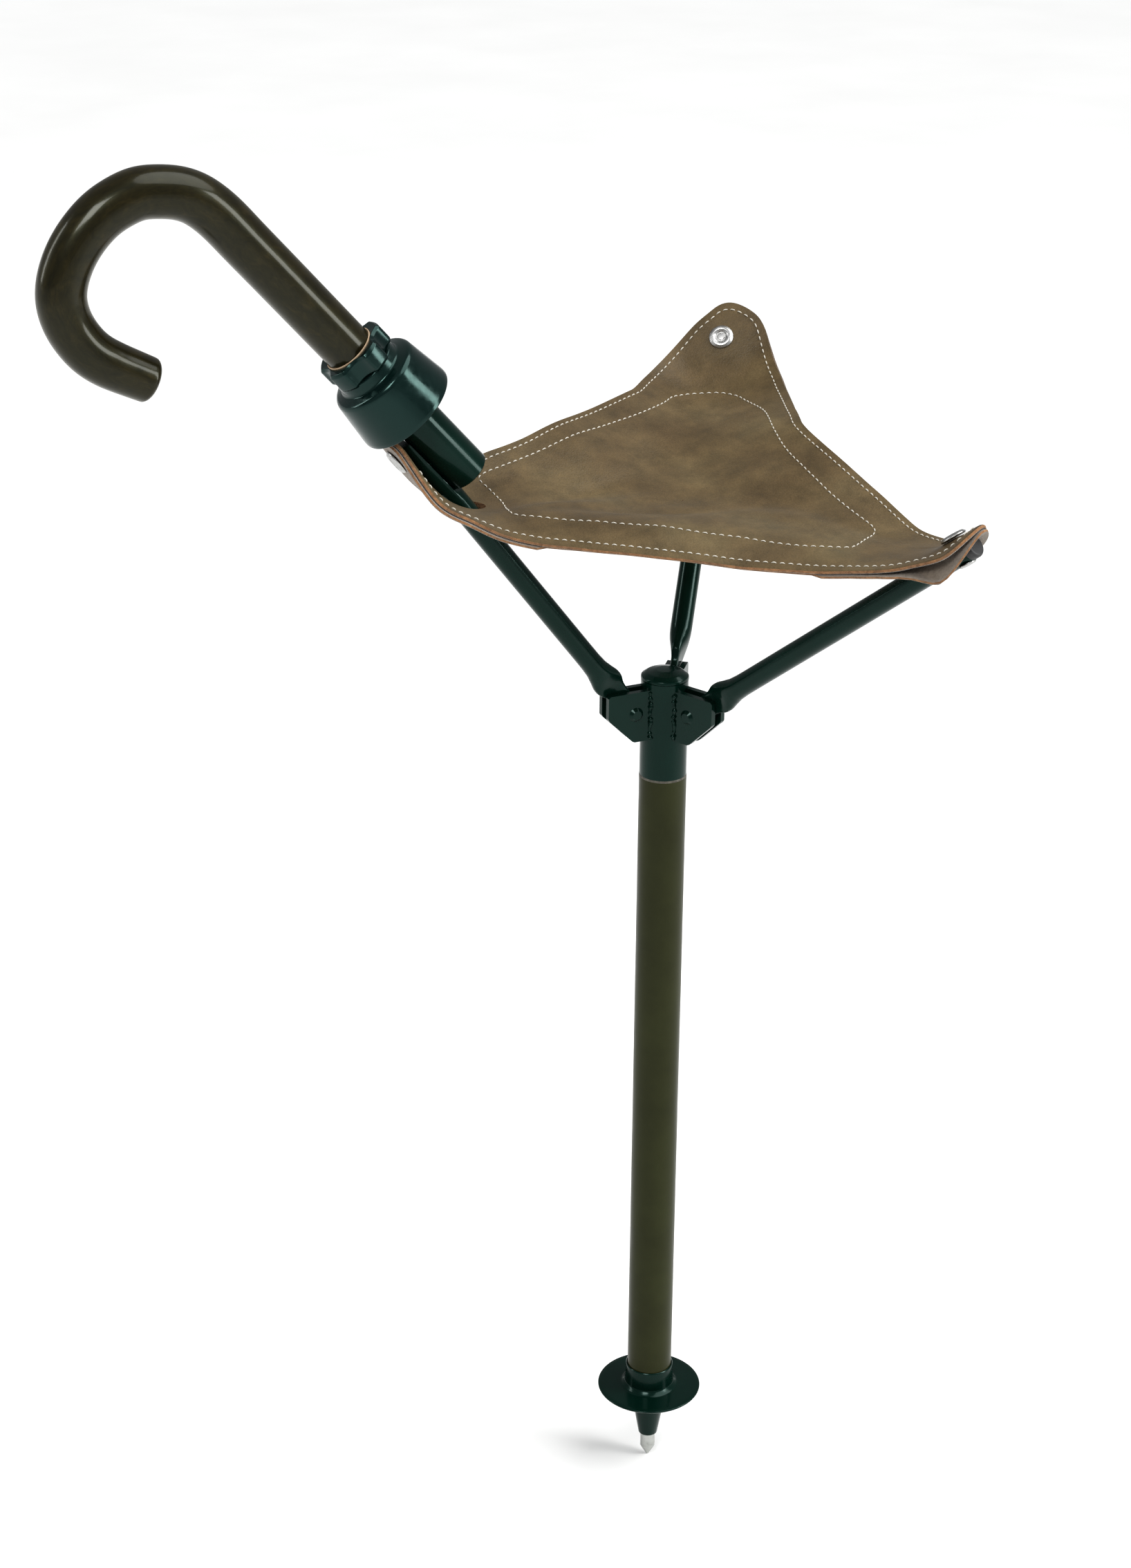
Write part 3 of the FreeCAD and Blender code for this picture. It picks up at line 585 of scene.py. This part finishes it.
# ---------------------------------------------------------------- arms and weld beads
def arm_tube(i):
    """A round tube pressed flat towards its pivot, with a rounded eye."""
    st = np.concatenate([-6.55 * np.cos(np.linspace(0.12, math.pi / 2, 9))[:-1], np.arange(0, 52, 1.0), np.linspace(52, 216.2, 42), [216.7, 217.0]])
    ka = np.array([(0, 6.5), (16, 6.4), (18, 6.6), (20, 7.2), (22, 8.2), (24, 8.7), (27, 8.6), (31, 7.6), (36, 6.6), (42, 6.25), (50, 6.2), (217, 6.2)])
    kb = np.array([(0, 2.3), (19, 2.3), (22, 2.85), (26, 4.1), (30, 5.4), (34, 6.0), (38, 6.2), (217, 6.2)])
    kp = np.array([(0, 7.0), (19, 6.0), (24, 3.2), (30, 2.2), (36, 2.0), (217, 2.0)])
    ker = np.array([1, 2, 3, 2, 1], float) / 9
    fine = np.arange(-4, 222, 0.5)
    A, B, P = (np.convolve(np.interp(fine, k[:, 0], k[:, 1]), ker, "same") for k in (ka, kb, kp))
    m, n = len(st), 52
    V, F = [], []
    for s in st:
        a, b, p = (np.interp(s, fine[3:-3], q[3:-3]) for q in (A, B, P))
        if s < 0:
            a, b, p = math.sqrt(max(0.0, 6.55 ** 2 - s * s)), 2.3, 7.0
        if s > 216.0:
            a, b = a - (s - 216.0) * 0.5, b - (s - 216.0) * 0.5
        for j in range(n):
            t = 2 * math.pi * j / n
            c, sn = math.cos(t), math.sin(t)
            u = math.copysign(abs(c) ** (2 / p), c) * a
            v = math.copysign(abs(sn) ** (2 / p), sn) * b
            if i == 0:
                # pressed flat where the socket lies against it
                lim = 1.7 - 0.0748 * (s - 179.5) if s > 179.0 else 1.7 + (179.0 - s) * 1.5
                u = min(u, lim)
            V.append(arm(i, s, u, v))
    for r in range(m - 1):
        for j in range(n):
            F.append((r * n + j, r * n + (j + 1) % n, (r + 1) * n + (j + 1) % n, (r + 1) * n + j))
    F.append(tuple(reversed(range(n))))
    F.append(tuple((m - 1) * n + j for j in range(n)))
    o = new_piece(f"arm_tube_{i + 1}", V, F, [enamel])
    b_ = bmesh.new()
    b_.from_mesh(o.data)
    bmesh.ops.remove_doubles(b_, verts=b_.verts, dist=2e-6)
    bmesh.ops.recalc_face_normals(b_, faces=b_.faces)
    b_.to_mesh(o.data)
    b_.free()
    o.data.set_sharp_from_angle(angle=math.radians(38))
    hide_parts(f"arm_rod_{i + 1}")
    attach(o, f"arm_{i + 1}")


def weld_beads(i):
    """Lumpy beads of weld where the cheeks of a bracket meet the tube."""
    V, F = [], []
    az = math.radians(AZ[i])
    for side in (-1, 1):
        ph = 1.7 * i + 2.3 * side
        zs = np.arange(ZP - 16.0, ZP + 12.4, 0.45)
        b0, n = len(V), 12
        for k, z in enumerate(zs):
            e = min(1.0, (k + 0.3) / 3, (len(zs) - 0.7 - k) / 3)
            rad_b = (1.0 + 0.38 * math.sin(1.15 * z + ph) * math.sin(0.43 * z + 2 * ph) + 0.26 * math.sin(2.1 * z + 3 * ph + math.sin(0.7 * z))) * math.sqrt(max(e, 0.05))
            a = az + side * (math.asin(6.2 / 13.3) + 0.035 * math.sin(0.6 * z + ph))
            c = np.array([13.25 * math.cos(a), 13.25 * math.sin(a), z])
            u = np.array([math.cos(a), math.sin(a), 0.0])
            w = np.cross(Z, u)
            for j in range(n):
                t = 2 * math.pi * j / n
                V.append(c + rad_b * (u * math.cos(t) + 1.15 * w * math.sin(t)))
        for r in range(len(zs) - 1):
            for j in range(n):
                F.append((b0 + r * n + j, b0 + r * n + (j + 1) % n, b0 + (r + 1) * n + (j + 1) % n, b0 + (r + 1) * n + j))
        F.append(tuple(b0 + j for j in reversed(range(n))))
        F.append(tuple(b0 + (len(zs) - 1) * n + j for j in range(n)))
    o = new_piece(f"weld_beads_{i + 1}", V, F, [enamel])
    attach(o, "stick")


for i in range(3):
    arm_tube(i)
    weld_beads(i)


# ---------------------------------------------------------------- rivets
def rivet(i, base, outward, body, node, back):
    prof = fillet([(0, 0.75, 0), (1.9, 0.7, 0.4), (2.3, 0.25, 0.25), (2.9, 0.25, 0.25), (3.4, 1.0, 0.4), (4.4, 1.75, 1.1), (5.7, 1.65, 0.9), (6.9, 0.6, 0.6), (7.2, 0.0, 0.2), (6.7, -0.4, 0.2), (0, -0.4, 0)], 4)
    o = lathe(f"rivet_head_{i}", prof, [nickel], base, outward, 56)
    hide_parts(node)
    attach(o, body)
    bo, bd = back
    prof = fillet([(0, 1.2, 0), (2.2, 1.1, 0.6), (3.0, 0.6, 0.4), (3.9, 1.0, 0.5), (4.6, 0.4, 0.4), (4.6, -0.3, 0.2), (0, -0.3, 0)], 4)
    o2 = lathe(f"rivet_tail_{i}", prof, [nickel], bo, bd, 48)
    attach(o2, body)


for i in (1, 2):
    _, d, n, y = arm_frame(i)
    rivet(i + 1, arm(i, 211.7, 9.0), n, f"arm_{i + 1}", f"corner_rivet_{i + 1}", (arm(i, 211.7, -6.1), -n))
rivet(1, arm(0, 211.7, -11.4), -N1, "arm_1", "corner_rivet_1", (arm(0, 211.7, 6.0), N1))

# ---------------------------------------------------------------- the seat: one leather surface in six joined sectors
HEIGHT = []
for i in (1, 2):
    for s, l in ((231, 0), (211.7, 0), (211.7, 14), (211.7, -14), (196, 0), (196, 18), (196, -18), (224, 9), (224, -9)):
        HEIGHT.append(arm(i, s, 7.6 if i == 1 else 7.6 - 6.5 * min(1.0, abs(l) / 14) ** 1.5 * min(1.0, (s - 192) / 22) - (1.0 if s > 225 else 0.0), l))
for s, l in ((226, 0), (222, 11), (222, -9), (205, 0), (205, 14), (205, -10), (190, 0), (190, 15), (190, -9)):
    HEIGHT.append(arm(0, s, -7.6, l))
HEIGHT += [np.array(q, float) for q in (
    (-160.2, -11.0, 680.0), (-156.6, -14.0, 671.6), (-153.0, -17.0, 664.7), (-144.6, -25.0, 650.5), (-132.5, -36.0, 644.1),
    (-120.3, -45.0, 637.4), (-102.1, -56.0, 632.4),
    (-112, 0, 637.), (-113, 22, 641.), (-91, 43, 650.6), (-60, 56, 654.), (-21.5, 75.7, 657.0), (-10, 78.5, 656.6), (4.5, 85.5, 658.0), (25.6, 95.7, 659.2),
    (99.9, 51.6, 660.), (83.9, 7, 657.4), (85.2, -38.5, 647.4), (90.3, -74.3, 637.2), (92.3, -109.5, 629.4),
    (-76, -72, 630.5), (-51.3, -88.6, 629.), (-17, -111, 626.0), (17, -133, 625.5), (30, -144, 627.5),
    (-92, -30, 639.), (-68, -50, 638.), (-40.5, -70, 637.), (-5, -92, 633.5), (30, -112, 630.),
    (-1.2, -18.3, 630.4), (-50, 10, 635.), (-32, 45, 650.5), (0, 64, 652.), (62, -5, 647.), (62, -45, 640.), (45, 40, 648.),
    (40, -50, 633.), (-40, -25, 632.5), (5, 28, 638.5), (-19.5, 23, 641.), (41, -20.7, 640.))]
HEIGHT = np.array(HEIGHT)


def thin_plate(P, V, lam):
    n = len(P)

    def U(r):
        return np.where(r > 0, r * r * np.log(np.maximum(r, 1e-9)), 0)
    K = U(np.linalg.norm(P[:, None] - P[None], axis=2)) + lam * np.eye(n)
    Q = np.hstack([np.ones((n, 1)), P])
    M = np.zeros((n + 3, n + 3))
    M[:n, :n], M[:n, n:], M[n:, :n] = K, Q, Q.T
    w = np.linalg.solve(M, np.concatenate([V, np.zeros(3)]))

    def ev(X):
        X = np.atleast_2d(X)
        return U(np.linalg.norm(X[:, None] - P[None], axis=2)) @ w[:n] + w[n] + X @ w[n + 1:]
    return ev


base_height = thin_plate(HEIGHT[:, :2], HEIGHT[:, 2], 40.0)
CEN = np.array([-1.19, -18.31])
TIP = [arm(0, 171.0), arm(1, 211.7, 7.6), arm(2, 211.7, 7.6)]
TIP[0] = np.array([-124.26, 0.0, 642.24])


def bumpy(X, cx, cy, ang, long_, wide, h):
    """A soft fold, h high, at (cx, cy), lying along ang."""
    c, s = math.cos(math.radians(ang)), math.sin(math.radians(ang))
    a = (X[:, 0] - cx) * c + (X[:, 1] - cy) * s
    b = -(X[:, 0] - cx) * s + (X[:, 1] - cy) * c
    return h * np.exp(-(a / long_) ** 2 - (b / wide) ** 2)


def height(X):
    X = np.atleast_2d(X)
    z = base_height(X)
    z = z + bumpy(X, -62, -14, 6, 46, 7, 1.6) + bumpy(X, -58, 2, 14, 40, 7, -1.5)
    z = z + bumpy(X, -20, -38, -14, 48, 8, -1.8) + bumpy(X, 28, -62, -40, 40, 9, 1.3)
    z = z + bumpy(X, 36, 46, 62, 40, 9, -1.2) + bumpy(X, 10, 8, 40, 30, 10, 1.0)
    z = z + bumpy(X, 60, -92, -60, 26, 7, -1.2)
    return z


def normal(X, f=None):
    f = f or height
    e = 0.05
    gx = (f(X + [e, 0]) - f(X - [e, 0])) / (2 * e)
    gy = (f(X + [0, e]) - f(X - [0, e])) / (2 * e)
    n = np.stack([-gx, -gy, np.ones(len(X))], 1)
    return n / np.linalg.norm(n, axis=1)[:, None]


def plan(i, s, off, lat):
    return tuple(arm(i, s, off, lat)[:2])


# outline of the cut, counterclockwise seen from above, beginning at the tab on arm 1
OUTLINE = [plan(0, 226, -7.6, 4), plan(0, 226, -7.6, -4), (-160.2, -11.0), (-156.6, -14.0), (-153.0, -17.0), (-144.6, -25.0), (-132.5, -36.0),
           (-120.3, -45.0), (-102.1, -55.5), (-76, -72), (-51.3, -88.6), (-17, -111), (17, -133),
           plan(2, 190, 7.6, 25), plan(2, 197, 7.6, 21.5), plan(2, 204, 7.6, 19), plan(2, 211, 7.6, 17.3), plan(2, 219, 7.6, 15), plan(2, 226, 7.6, 10.5),
           plan(2, 230.5, 7.6, 4), plan(2, 230.5, 7.6, -4), plan(2, 226, 7.6, -10.5), plan(2, 219, 7.6, -15), plan(2, 211, 7.6, -17.5), plan(2, 203, 7.6, -20), (95, -132), (92.2, -107.5), (91.7, -93.6),
           (90.3, -74.3), (87.9, -56.3), (85.7, -37.5), (84.1, -17.5), (83.7, -0.5), (84.6, 6.8), (88.2, 17.0), (92.0, 28.0), (96.6, 40.0), (100.9, 52.0),
           (104.0, 61.8), (106.9, 71.7), (109.6, 85.9), (110.9, 93.5), (111.8, 101.5), (111.2, 106.5), (107.9, 112.6), (100.8, 120.4), (94.5, 123.8), (87.8, 124.8),
           (78.9, 125.6), (69.8, 124.8), (62.3, 122.9), (54.4, 119.5), (46.3, 114.6), (36.7, 107.2), (27.6, 98.6), (24.8, 96.2), (21.0, 94.0), (4.3, 85.4),
           (-12.2, 77.6), (-29.0, 69.2), (-61.0, 54.2), (-76.0, 48.6), (-91.5, 43.4),
           (-106, 37.0), (-120, 30.0), plan(0, 190, -7.6, 17.5), plan(0, 200, -7.6, 15.5), plan(0, 212, -7.6, 13), plan(0, 222, -7.6, 10)]


def closed_curve(P, step):
    """Centripetal Catmull-Rom through a ring of points, evenly spaced."""
    P = np.array(P, float)
    n = len(P)
    out = []
    for i in range(n):
        p0, p1, p2, p3 = P[i - 1], P[i], P[(i + 1) % n], P[(i + 2) % n]
        t0 = 0.0
        t1 = t0 + max(np.linalg.norm(p1 - p0), 1e-6) ** 0.5
        t2 = t1 + max(np.linalg.norm(p2 - p1), 1e-6) ** 0.5
        t3 = t2 + max(np.linalg.norm(p3 - p2), 1e-6) ** 0.5
        for t in np.linspace(t1, t2, 24, endpoint=False):
            a1 = (t1 - t) / (t1 - t0) * p0 + (t - t0) / (t1 - t0) * p1
            a2 = (t2 - t) / (t2 - t1) * p1 + (t - t1) / (t2 - t1) * p2
            a3 = (t3 - t) / (t3 - t2) * p2 + (t - t2) / (t3 - t2) * p3
            b1 = (t2 - t) / (t2 - t0) * a1 + (t - t0) / (t2 - t0) * a2
            b2 = (t3 - t) / (t3 - t1) * a2 + (t - t1) / (t3 - t1) * a3
            out.append((t2 - t) / (t2 - t1) * b1 + (t - t1) / (t2 - t1) * b2)
    out = np.array(out)
    z = height(out)
    full = np.column_stack([out, z])
    s = np.concatenate([[0], np.cumsum(np.linalg.norm(np.diff(np.vstack([full, full[:1]]), axis=0), axis=1))])
    m = int(s[-1] / step)
    t = np.linspace(0, s[-1], m, endpoint=False)
    ring = np.vstack([out, out[:1]])
    return np.column_stack([np.interp(t, s, ring[:, k]) for k in (0, 1)]), s[-1]


EDGE, EDGE_LEN = closed_curve(OUTLINE, 1.6)
ANG = np.unwrap(np.arctan2(EDGE[:, 1] - CEN[1], EDGE[:, 0] - CEN[0]))
DIRS = {}
M_POINTS = {"12": np.array([-38.94, 62.6]), "23": np.array([82.7, -24.77]), "13": np.array([-41.33, -74.12])}


def azimuth(p):
    return math.degrees(math.atan2(p[1] - CEN[1], p[0] - CEN[0])) % 360.0


cuts = {"t1": azimuth(TIP[0]), "m13": azimuth(M_POINTS["13"]), "t3": azimuth(TIP[2]), "m23": azimuth(M_POINTS["23"]),
        "t2": azimuth(TIP[1]), "m12": azimuth(M_POINTS["12"])}
SECTORS = [("12", "m12", "t1", 0), ("13", "t1", "m13", 0), ("31", "m13", "t3", 2), ("32", "t3", "m23", 2), ("23", "m23", "t2", 1), ("21", "t2", "m12", 1)]


def edge_radius(az):
    """Distance from the centre to the outline at azimuths in degrees, and how oblique the outline is there."""
    a = np.degrees(ANG) % 360.0
    r = np.linalg.norm(EDGE - CEN, axis=1)
    o = np.argsort(a)
    aa, rr_ = a[o], r[o]
    aa = np.concatenate([aa - 360, aa, aa + 360])
    rr_ = np.concatenate([rr_, rr_, rr_])
    R = np.interp(az, aa, rr_)
    g = (np.interp(az + 0.4, aa, rr_) - np.interp(az - 0.4, aa, rr_)) / math.radians(0.8)
    return R, np.sqrt(1 + (g / R) ** 2)


def sector_azimuths(a, b, step=1.7):
    """Azimuths from a to b (degrees, going up), spaced about evenly along the outline."""
    if b < a:
        b += 360.0
    az = np.linspace(a, b, 1500)
    R, _ = edge_radius(az)
    p = np.column_stack([R * np.cos(np.radians(az)), R * np.sin(np.radians(az))])
    s = np.concatenate([[0], np.cumsum(np.linalg.norm(np.diff(p, axis=0), axis=1))])
    # half by outline length, half by angle, so that the middle stays even
    q = s / s[-1] * 0.8 + (az - a) / (b - a) * 0.2
    m = max(12, int(s[-1] / step))
    return np.interp(np.linspace(0, 1, m), q, az)


RINGS = [0.0, 0.35, 0.9, 1.8, 3.2, 5.0, 7.5, 10.5, 14.0, 18.0]


def lattice(az, inner=None, outer_in=0.0, rings=46):
    """Plan points: row 0 on the outline, last row at the centre or on the inner line."""
    R, ob = edge_radius(az)
    ob = np.minimum(ob, 1.9)
    d = (np.array(RINGS)[:, None] + np.zeros_like(R)[None, :] + outer_in) * ob[None, :]
    rad_ = R[None, :] - d
    floor_r = np.zeros_like(R) + 0.4 if inner is None else inner(az)
    last = rad_[-1]
    last = np.maximum(last, floor_r + 1.0)
    rad_ = np.maximum(rad_, floor_r[None, :] + 0.5)
    t = np.linspace(0, 1, rings + 1)[1:] ** 0.9
    rest = last[None, :] * (1 - t[:, None]) + floor_r[None, :] * t[:, None]
    rad_ = np.vstack([rad_, rest])
    return np.stack([CEN[0] + rad_ * np.cos(np.radians(az)), CEN[1] + rad_ * np.sin(np.radians(az))], 2)


SLIT = (np.array([-123.0, 0.0]), 14.5, 8.2)


def build_sheet(name, P, thick, drop, mats, hole=False, shape=None, round_in=False):
    """A closed thin solid over a lattice of plan points."""
    f = shape or height
    m, n = P.shape[:2]
    X = P.reshape(-1, 2).copy()
    keep = np.ones((m - 1, n - 1), bool)
    if hole:
        c, a, b = SLIT
        q = (X - c) / [a, b]
        rr2 = np.linalg.norm(q, axis=1)
        inside = rr2 < 1.0
        ins = inside.reshape(m, n)
        keep = ~(ins[:-1, :-1] & ins[1:, :-1] & ins[:-1, 1:] & ins[1:, 1:])
        # the ring of points of the kept faces that lie in the hole moves out to its rim
        mv = inside & (rr2 > 1e-6)
        X[mv] = c + (q[mv] / rr2[mv][:, None]) * [a, b]
    z = f(X)
    N = normal(X, f)
    half = np.full((m, n), thick / 2)
    half[0] *= 0.55
    half[1] *= 0.86
    if round_in:
        half[-1] *= 0.6
        half[-2] *= 0.9
    half = half.ravel()
    mid = np.column_stack([X, z]) - N * drop
    top, bot = mid + N * half[:, None], mid - N * half[:, None]
    V = np.vstack([top, bot])
    off = m * n
    faces, fm, border = [], [], {}
    for i in range(m - 1):
        for j in range(n - 1):
            if not keep[i, j]:
                continue
            a_, b_, c_, d_ = i * n + j, i * n + j + 1, (i + 1) * n + j + 1, (i + 1) * n + j
            q = [a_, b_, c_, d_]
            faces.append(q)
            fm.append(0)
            faces.append([k + off for k in reversed(q)])
            fm.append(2)
            for k in range(4):
                e = (q[k], q[(k + 1) % 4])
                if (e[1], e[0]) in border:
                    del border[(e[1], e[0])]
                else:
                    border[e] = True
    for (a_, b_) in border:
        faces.append([b_, a_, a_ + off, b_ + off])
        fm.append(1)
    used = np.zeros(len(V), bool)
    for q in faces:
        used[q] = True
    remap = np.cumsum(used) - 1
    V2 = V[used]
    faces = [[int(remap[k]) for k in q] for q in faces]
    nrm = np.vstack([N, -N])[used]
    o = new_piece(name, V2, faces, mats, fm)
    me = o.data
    # custom normals: the surface's own on both sides, flat on the cut edge
    fi = np.zeros(len(me.loops), np.int32)
    me.loops.foreach_get("vertex_index", fi)
    ln = nrm[fi].copy()
    pn = np.zeros(len(me.polygons) * 3, np.float32)
    me.polygons.foreach_get("normal", pn)
    pn = pn.reshape(-1, 3)
    starts = np.zeros(len(me.polygons), np.int32)
    totals = np.zeros(len(me.polygons), np.int32)
    me.polygons.foreach_get("loop_start", starts)
    me.polygons.foreach_get("loop_total", totals)
    fmn = np.array(fm)
    for k in np.where(fmn == 1)[0]:
        ln[starts[k]:starts[k] + totals[k]] = pn[k]
    me.normals_split_custom_set([tuple(v) for v in ln])
    me.update()
    tri_area = 0.0
    for k in np.where(fmn == 0)[0]:
        tri_area += me.polygons[k].area
    return o, tri_area


START = [TIP[0] + 0, TIP[1] + 0, TIP[2] + 0]
LEATHER = [leather, edge, flesh]
C3 = np.array([CEN[0], CEN[1], 630.4])
sector_piece = {}
for key, a, b, i in SECTORS:
    az = sector_azimuths(cuts[a], cuts[b])
    o, area = build_sheet(f"seat_leather_{key}", lattice(az), 2.6, 0.0, LEATHER, hole=(i == 0))
    sector_piece[key] = (o, area, az, i)

# second layer under the edges, as far in as the inner seam
INNER = [(-100.5, 28), (-57.3, 43.5), (-4.1, 67.4), (47.1, 90.2), (62.6, 91.8), (74.4, 86.3), (81.2, 70.6), (80.0, 44.9), (72.5, 15), (66.5, -15.3),
         (67.8, -58.3), (71, -99.1), (57.9, -108.6), (46.2, -116.8), (26.6, -113.9), (-0.6, -96.5), (-28.1, -78.6), (-66.4, -53.3), (-100.9, -24.1)]
INNER_SEAM = [(-100.5, 27.0), (-97.0, 29.6), (-83.8, 33.4), (-68.5, 38.2), (-33.1, 50.0), (-7.7, 60.8), (20.8, 72.6), (36.5, 81.6), (46.4, 89.6), (49.6, 91.0), (60.2, 92.4),
              (75.6, 86.0), (81.8, 76.0), (82.3, 69.6), (80.4, 43.5), (70.5, 11.2), (66.2, -12.6), (65.6, -34.3), (66.4, -55.2), (68.5, -78.3), (70.4, -96.0), (69.0, -100.5),
              (59.1, -108.5), (48.6, -116.0), (45.0, -117.4), (27.9, -111.5), (11.1, -102.3), (-9.1, -89.6), (-33.7, -73.1), (-62.5, -54.1), (-84.4, -40.1), (-101.0, -26.6), (-103.1, -22.6),
              (-98.2, 1.9), (-98.6, 16.8)]


def inner_radius(az):
    q = np.array(INNER) - CEN
    a = np.degrees(np.arctan2(q[:, 1], q[:, 0])) % 360.0
    o = np.argsort(a)
    aa, r = a[o], np.linalg.norm(q, axis=1)[o]
    aa = np.concatenate([aa - 360, aa, aa + 360])
    r = np.concatenate([r, r, r])
    return np.interp(az, aa, r) - 5.0


def lip(az):
    """The corner patches stand a little proud of the cut edge; between them the strip lies behind it."""
    out = np.full(len(az), 2.2)
    for lo, hi in (((-110.0, 37.0), (-102.1, -56.0)), ((17.0, -133.0), (91.9, -100.0)), ((84.4, 6.0), (25.2, 96.6))):
        a, b = azimuth(lo), azimuth(hi)
        out[((az - a) % 360.0) < ((b - a) % 360.0)] = -0.5
    return out


def under_height(X):
    """The lower layer hangs away from the upper one at the front of arm 3."""
    z = height(X)
    o, d, n, y = arm_frame(2)
    rel = X - o[:2]
    u2 = d[:2] / np.linalg.norm(d[:2])
    y2 = y[:2]
    s = rel @ u2
    l = rel @ y2
    w = np.clip((l - 3.5) / 12.5, 0, 1.0) ** 1.3
    return z - w * np.interp(s, [100, 120, 134, 144, 150, 156, 161, 166, 172, 177], [0, 0.1, 0.5, 1.8, 4.2, 7.4, 9.8, 9.6, 8.8, 8.2])


under_piece = {}
for key, a, b, i in SECTORS:
    az = sector_azimuths(cuts[a], cuts[b], 2.2)
    o, area = build_sheet(f"seat_lining_{key}", lattice(az, inner_radius, lip(az), 14), 2.0, 2.45, [flesh, edge, flesh], hole=(i == 0),
                          shape=under_height, round_in=True)
    under_piece[key] = (o, area)


# seams
def ring_stitches(ring, pitch=4.3, length=3.0):
    """Seven plan points for each stitch of a closed seam."""
    X = np.vstack([ring, ring[:1]])
    P = np.column_stack([X, height(X)])
    s = np.concatenate([[0], np.cumsum(np.linalg.norm(np.diff(P, axis=0), axis=1))])
    n = int(round(s[-1] / pitch))
    t = (np.arange(n) * s[-1] / n)[:, None] + np.linspace(0, 1, 7)[None, :] * length
    return np.stack([np.interp(t % s[-1], s, X[:, q]) for q in (0, 1)], 2)


def stitches(name, runs, up_off=1.3):
    """Short raised stitches of thread."""
    V, F = [], []
    flat = runs.reshape(-1, 2)
    zz = height(flat).reshape(-1, 7)
    nn = normal(flat).reshape(-1, 7, 3)
    lift = np.array([-0.35, 0.12, 0.28, 0.33, 0.28, 0.12, -0.35])
    r = np.array([0.18, 0.30, 0.35, 0.37, 0.35, 0.30, 0.18])
    for x, z, nm in zip(runs, zz, nn):
        p = np.column_stack([x, z]) + nm * (up_off + lift)[:, None]
        tg = np.gradient(p, axis=0)
        tg /= np.linalg.norm(tg, axis=1)[:, None]
        sd = np.cross(nm, tg)
        b0 = len(V)
        for q in range(7):
            for j in range(8):
                a = 2 * math.pi * j / 8
                V.append(p[q] + r[q] * (sd[q] * math.cos(a) + np.cross(tg[q], sd[q]) * math.sin(a)))
        for q in range(6):
            for j in range(8):
                F.append((b0 + q * 8 + j, b0 + q * 8 + (j + 1) % 8, b0 + (q + 1) * 8 + (j + 1) % 8, b0 + (q + 1) * 8 + j))
        F.append(tuple(b0 + j for j in reversed(range(8))))
        F.append(tuple(b0 + 48 + j for j in range(8)))
    return new_piece(name, V, F, [thread])


def inset_ring(d):
    """The outline moved inward by d in plan, corrected for slope."""
    n = len(EDGE)
    t = np.roll(EDGE, -2, 0) - np.roll(EDGE, 2, 0)
    t /= np.linalg.norm(t, axis=1)[:, None]
    nin = np.column_stack([-t[:, 1], t[:, 0]])
    # shrink d where the surface is steep across the edge
    g = (height(EDGE + nin * 0.5) - height(EDGE - nin * 0.5))
    return EDGE + nin * (d / np.sqrt(1 + g ** 2))[:, None]


def in_sector(runs, a, b):
    q = runs[:, 3] - CEN
    az = np.degrees(np.arctan2(q[:, 1], q[:, 0]))
    return runs[((az - a) % 360.0) < ((b - a) % 360.0)]


outer = inset_ring(4.6)
inner_ring, _ = closed_curve(INNER_SEAM, 1.0)
outer_runs = ring_stitches(outer)
outer_runs = outer_runs[outer_runs[:, 3, 0] > -152.0]
inner_runs = ring_stitches(inner_ring)
for key, a, b, i in SECTORS:
    o, area, az, _ = sector_piece[key]
    u, uarea = under_piece[key]
    st = stitches(f"seam_{key}", np.concatenate([in_sector(outer_runs, cuts[a], cuts[b]), in_sector(inner_runs, cuts[a], cuts[b])]))
    T = TIP[i]
    dirn = C3 - T
    dirn /= np.linalg.norm(dirn)
    for q in (o, u, st):
        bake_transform(q)
    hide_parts(f"seat_panel_{key}", f"seat_corner_{i + 1}")

# ---------------------------------------------------------------- floor and light
me = bpy.data.meshes.new("floor")
me.from_pydata([(-30, -30, 0), (30, -30, 0), (30, 30, 0), (-30, 30, 0)], [], [(0, 1, 2, 3)])
me.materials.append(floor_m.m)
floor = bpy.data.objects.new("floor", me)
scene.collection.objects.link(floor)

world = bpy.data.worlds.new("studio")
scene.world = world
world.use_nodes = True
world.node_tree.nodes["Background"].inputs["Color"].default_value = (0.97, 0.98, 1.0, 1.0)
world.node_tree.nodes["Background"].inputs["Strength"].default_value = 0.36


def softbox(name, loc, target, size, power, color=(1, 1, 1)):
    l = bpy.data.lights.new(name, "AREA")
    l.shape = "RECTANGLE"
    l.size, l.size_y = size
    l.energy = power
    l.color = color
    o = bpy.data.objects.new(name, l)
    scene.collection.objects.link(o)
    o.location = loc
    d = Vector(target) - Vector(loc)
    o.rotation_euler = d.to_track_quat("-Z", "Y").to_euler()
    return o


softbox("key", (-1.5, -1.5, 2.5), (0, 0, 0.5), (0.9, 0.9), 34)
softbox("fill", (2.2, -1.9, 1.5), (0, 0, 0.6), (0.8, 1.8), 46)
sky = bpy.data.lights.new("overcast", "SUN")
sky.energy = 2.35
sky.angle = 0.95
sky_o = bpy.data.objects.new("overcast", sky)
scene.collection.objects.link(sky_o)
sky_o.location = (0.3, 0.9, 3.2)
sky_o.rotation_euler = (Vector((0.0, 0.0, 0.0)) - Vector((0.50, -0.30, 1.0))).to_track_quat("-Z", "Y").to_euler()
softbox("rim", (-2.4, 1.2, 1.6), (0, 0, 0.6), (0.4, 1.6), 14)
